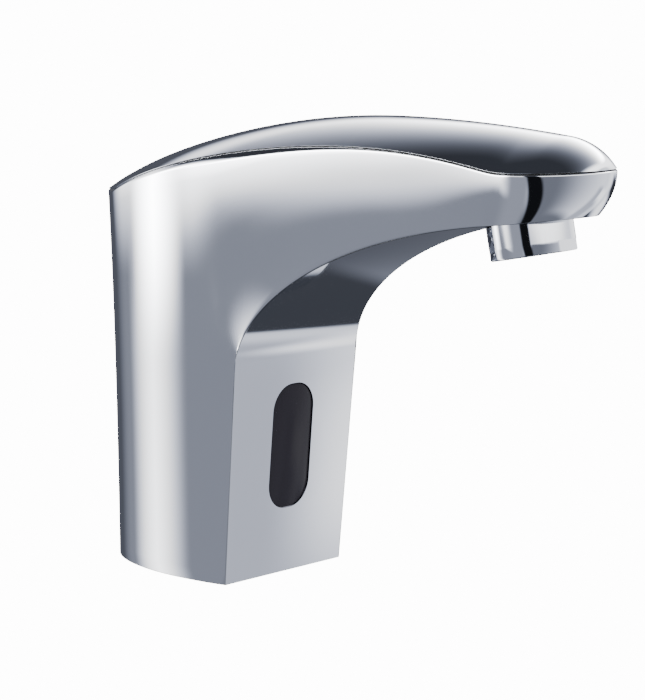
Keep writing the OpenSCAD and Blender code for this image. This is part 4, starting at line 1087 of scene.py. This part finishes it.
class TAP_OT_ring(bpy.types.Operator):
    """Aerator ring with its spanner flats, and the gauze inside it"""

    bl_idname = "tap.ring"
    bl_label = "Aerator ring"

    def execute(self, context):
        s, c = settings(context)
        at = on_outlet(Form(s), s)
        r, low = s.aerator_diameter / MM / 2, -s.aerator_show / MM
        step = low + s.flats_height / MM
        # Radius and height from the outlet's face
        rim = [(9.6, low + 0.15), (9.75, low), (r - 0.55, low), (r - 0.2, low + 0.12), (r, low + 0.5)]
        side = [(r, step - 0.001), (r, step), (r, 1.95), (r - 0.05, 2.0)]
        thread = [(11.95, 2.0), (11.95, 6.9), (10.25, 6.9)]
        inside = [(10.25, low + 2.2), (9.6, low + 2.2)]
        bm = bmesh.new()
        half = s.flats_width / MM / 2
        for row in lathe(bm, [*rim, *side, *thread, *inside], Matrix.Rotation(s.flats_turn, 4, "Z"), 256):
            for v in row:
                if v.co.z < step - 0.0005:
                    turned = Matrix.Rotation(-s.flats_turn, 3, "Z") @ v.co
                    turned.x = max(-half, min(half, turned.x))
                    v.co = Matrix.Rotation(s.flats_turn, 3, "Z") @ turned
        bm.transform(at)
        obj = finished("aerator_ring", bm, material("Chrome", c.chrome), angle=35)
        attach(obj, "root")
        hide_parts("aerator_housing")
        tree, steel = gauze_tree(), material("Satin steel")
        sizes = {"Bars": s.bars, "Disc": GAUZE_DISC, "Wire": GAUZE_WIRE}
        up = Matrix.Scale(MM, 4) @ at @ Matrix.Scale(1 / MM, 4)
        for k, turn in enumerate((0, math.pi / 2)):
            lift = Matrix.Translation((0, 0, low * MM + GAUZE_UP + GAUZE_STEP * k))
            place = up @ lift @ Matrix.Rotation(turn, 4, "Z")
            gauze = repeated(f"gauze_{k + 1}", tree, place, Finish=steel, **sizes)
            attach(gauze, "root")
        return {"FINISHED"}


class TAP_OT_coils(bpy.types.Operator):
    """Plunger spring and the coil's copper wire"""

    bl_idname = "tap.coils"
    bl_label = "Spring and winding"

    def execute(self, context):
        tree = coil_tree()
        low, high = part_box("plunger_spring")
        at = Matrix.Translation(((low.x + high.x) / 2, (low.y + high.y) / 2, low.z + SPRING_WIRE))
        radius, height = (high.x - low.x) / 2 - SPRING_WIRE, high.z - low.z - 2 * SPRING_WIRE
        sizes = {"Turns": SPRING_TURNS, "Radius": radius, "Height": height, "Wire": SPRING_WIRE}
        spring = repeated("spring_wire", tree, at, Finish=material("Satin steel"), **sizes)
        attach(spring, "root")
        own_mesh(spring)
        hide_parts("plunger_spring")
        low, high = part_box("coil_winding")
        copper = material("Copper wire")
        at = Matrix.Translation((0, 0, low.z + COPPER_WIRE))
        radius, height = high.x - COPPER_WIRE, high.z - low.z - 2 * COPPER_WIRE
        turns = height / (2 * COPPER_WIRE)
        sizes = {"Turns": turns, "Radius": radius, "Height": height, "Wire": COPPER_WIRE}
        winding = repeated("copper_turns", tree, at, Finish=copper, **sizes)
        bm = bmesh.new()
        foot, top, inner, outer = (value / MM for value in (low.z, high.z, COPPER_BORE, radius))
        lathe(bm, [(inner, foot), (outer, foot), (outer, top), (inner, top)])
        core = finished("copper_core", bm, copper)
        for obj in (winding, core):
            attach(obj, "root")
        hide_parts("coil_winding")
        return {"FINISHED"}


CAD_FINISHES = {
    "Chrome": ("body_shell", "top_cover", "aerator_housing"),
    "Black rubber": (
        "cover_gasket", "peg_ring", "window_gasket", "base_gasket", "inlet_o_ring", "diaphragm",
        "plunger_seal", "adapter_o_ring", "aerator_washer",
    ),
    "Satin steel": (
        "cover_screw", "sensor_screws", "board_screws", "frame_screws", "base_screws", "valve_screws",
        "adapter_screws", "inlet_filter", "plunger", "plunger_spring", "coil_yoke", "coil_clip",
        "tube_clamps", "aerator_screen",
    ),
    "Brass": ("base_plate", "inlet_fitting", "outlet_elbow", "outlet_adapter", "battery_contacts"),
    "Black plastic": (
        "sensor_housing", "sensor_back", "board_components", "battery_box", "battery_lid", "support_frame",
        "coil_bobbin",
    ),
    "White plastic": ("valve_body", "diaphragm_insert", "valve_bonnet", "aerator_insert"),
    "Copper wire": ("coil_winding",),
    "Green board": ("sensor_board", "control_board"),
    "Blue sleeve": ("battery_pack",),
    "Dark window": ("sensor_window",),
    "Dark lamp": ("ir_emitter", "ir_receiver"),
    "Clear lamp": ("status_led",),
    "Tube": ("outlet_tube",),
    "Grey lead": ("sensor_lead",),
    "Red lead": ("valve_lead",),
    "Blue lead": ("battery_lead",),
}


class TAP_OT_finishes(bpy.types.Operator):
    """Finishes of the CAD pieces that stay"""

    bl_idname = "tap.finishes"
    bl_label = "Finishes"

    def execute(self, context):
        nodes = {o["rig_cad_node"]: o for o in bpy.data.objects if "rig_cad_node" in o}
        given = {n: finish for finish, names in CAD_FINISHES.items() for n in names}
        missing = sorted(set(nodes) - set(given))
        if missing:
            raise ValueError(f"no finish for {missing}")
        for name, obj in nodes.items():
            obj.data.materials.clear()
            obj.data.materials.append(material(given[name]))
        return {"FINISHED"}


class TAP_OT_stage(bpy.types.Operator):
    """Floor, light tent, lamp and camera"""

    bl_idname = "tap.stage"
    bl_label = "Stage"

    def execute(self, context):
        build_stage(context.scene.tap_sizes)
        return {"FINISHED"}


STEPS = (
    TAP_OT_body, TAP_OT_cover, TAP_OT_window, TAP_OT_ring, TAP_OT_coils, TAP_OT_finishes, TAP_OT_stage,
)


class TAP_PT_panel(bpy.types.Panel):
    """The tap's settings and the steps that build it"""

    bl_idname = "TAP_PT_panel"
    bl_label = "Sensor tap"
    bl_space_type = "VIEW_3D"
    bl_region_type = "UI"
    bl_category = "Sensor tap"

    def draw(self, context):
        for group in settings(context):
            box = self.layout.box()
            for name in group.__annotations__:
                box.prop(group, name)
        for step in STEPS:
            self.layout.operator(step.bl_idname)


CLASSES = (TapSizes, TapColours, *STEPS, TAP_PT_panel)


def register():
    for c in CLASSES:
        bpy.utils.register_class(c)
    bpy.types.Scene.tap_sizes = PointerProperty(type=TapSizes)
    bpy.types.Scene.tap_colours = PointerProperty(type=TapColours)


def unregister():
    del bpy.types.Scene.tap_colours
    del bpy.types.Scene.tap_sizes
    for c in reversed(CLASSES):
        bpy.utils.unregister_class(c)


def main():
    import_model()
    register()
    bpy.ops.tap.body()
    bpy.ops.tap.cover()
    bpy.ops.tap.window()
    bpy.ops.tap.ring()
    bpy.ops.tap.coils()
    bpy.ops.tap.finishes()
    bpy.ops.tap.stage()


if __name__ == "__main__":
    main()
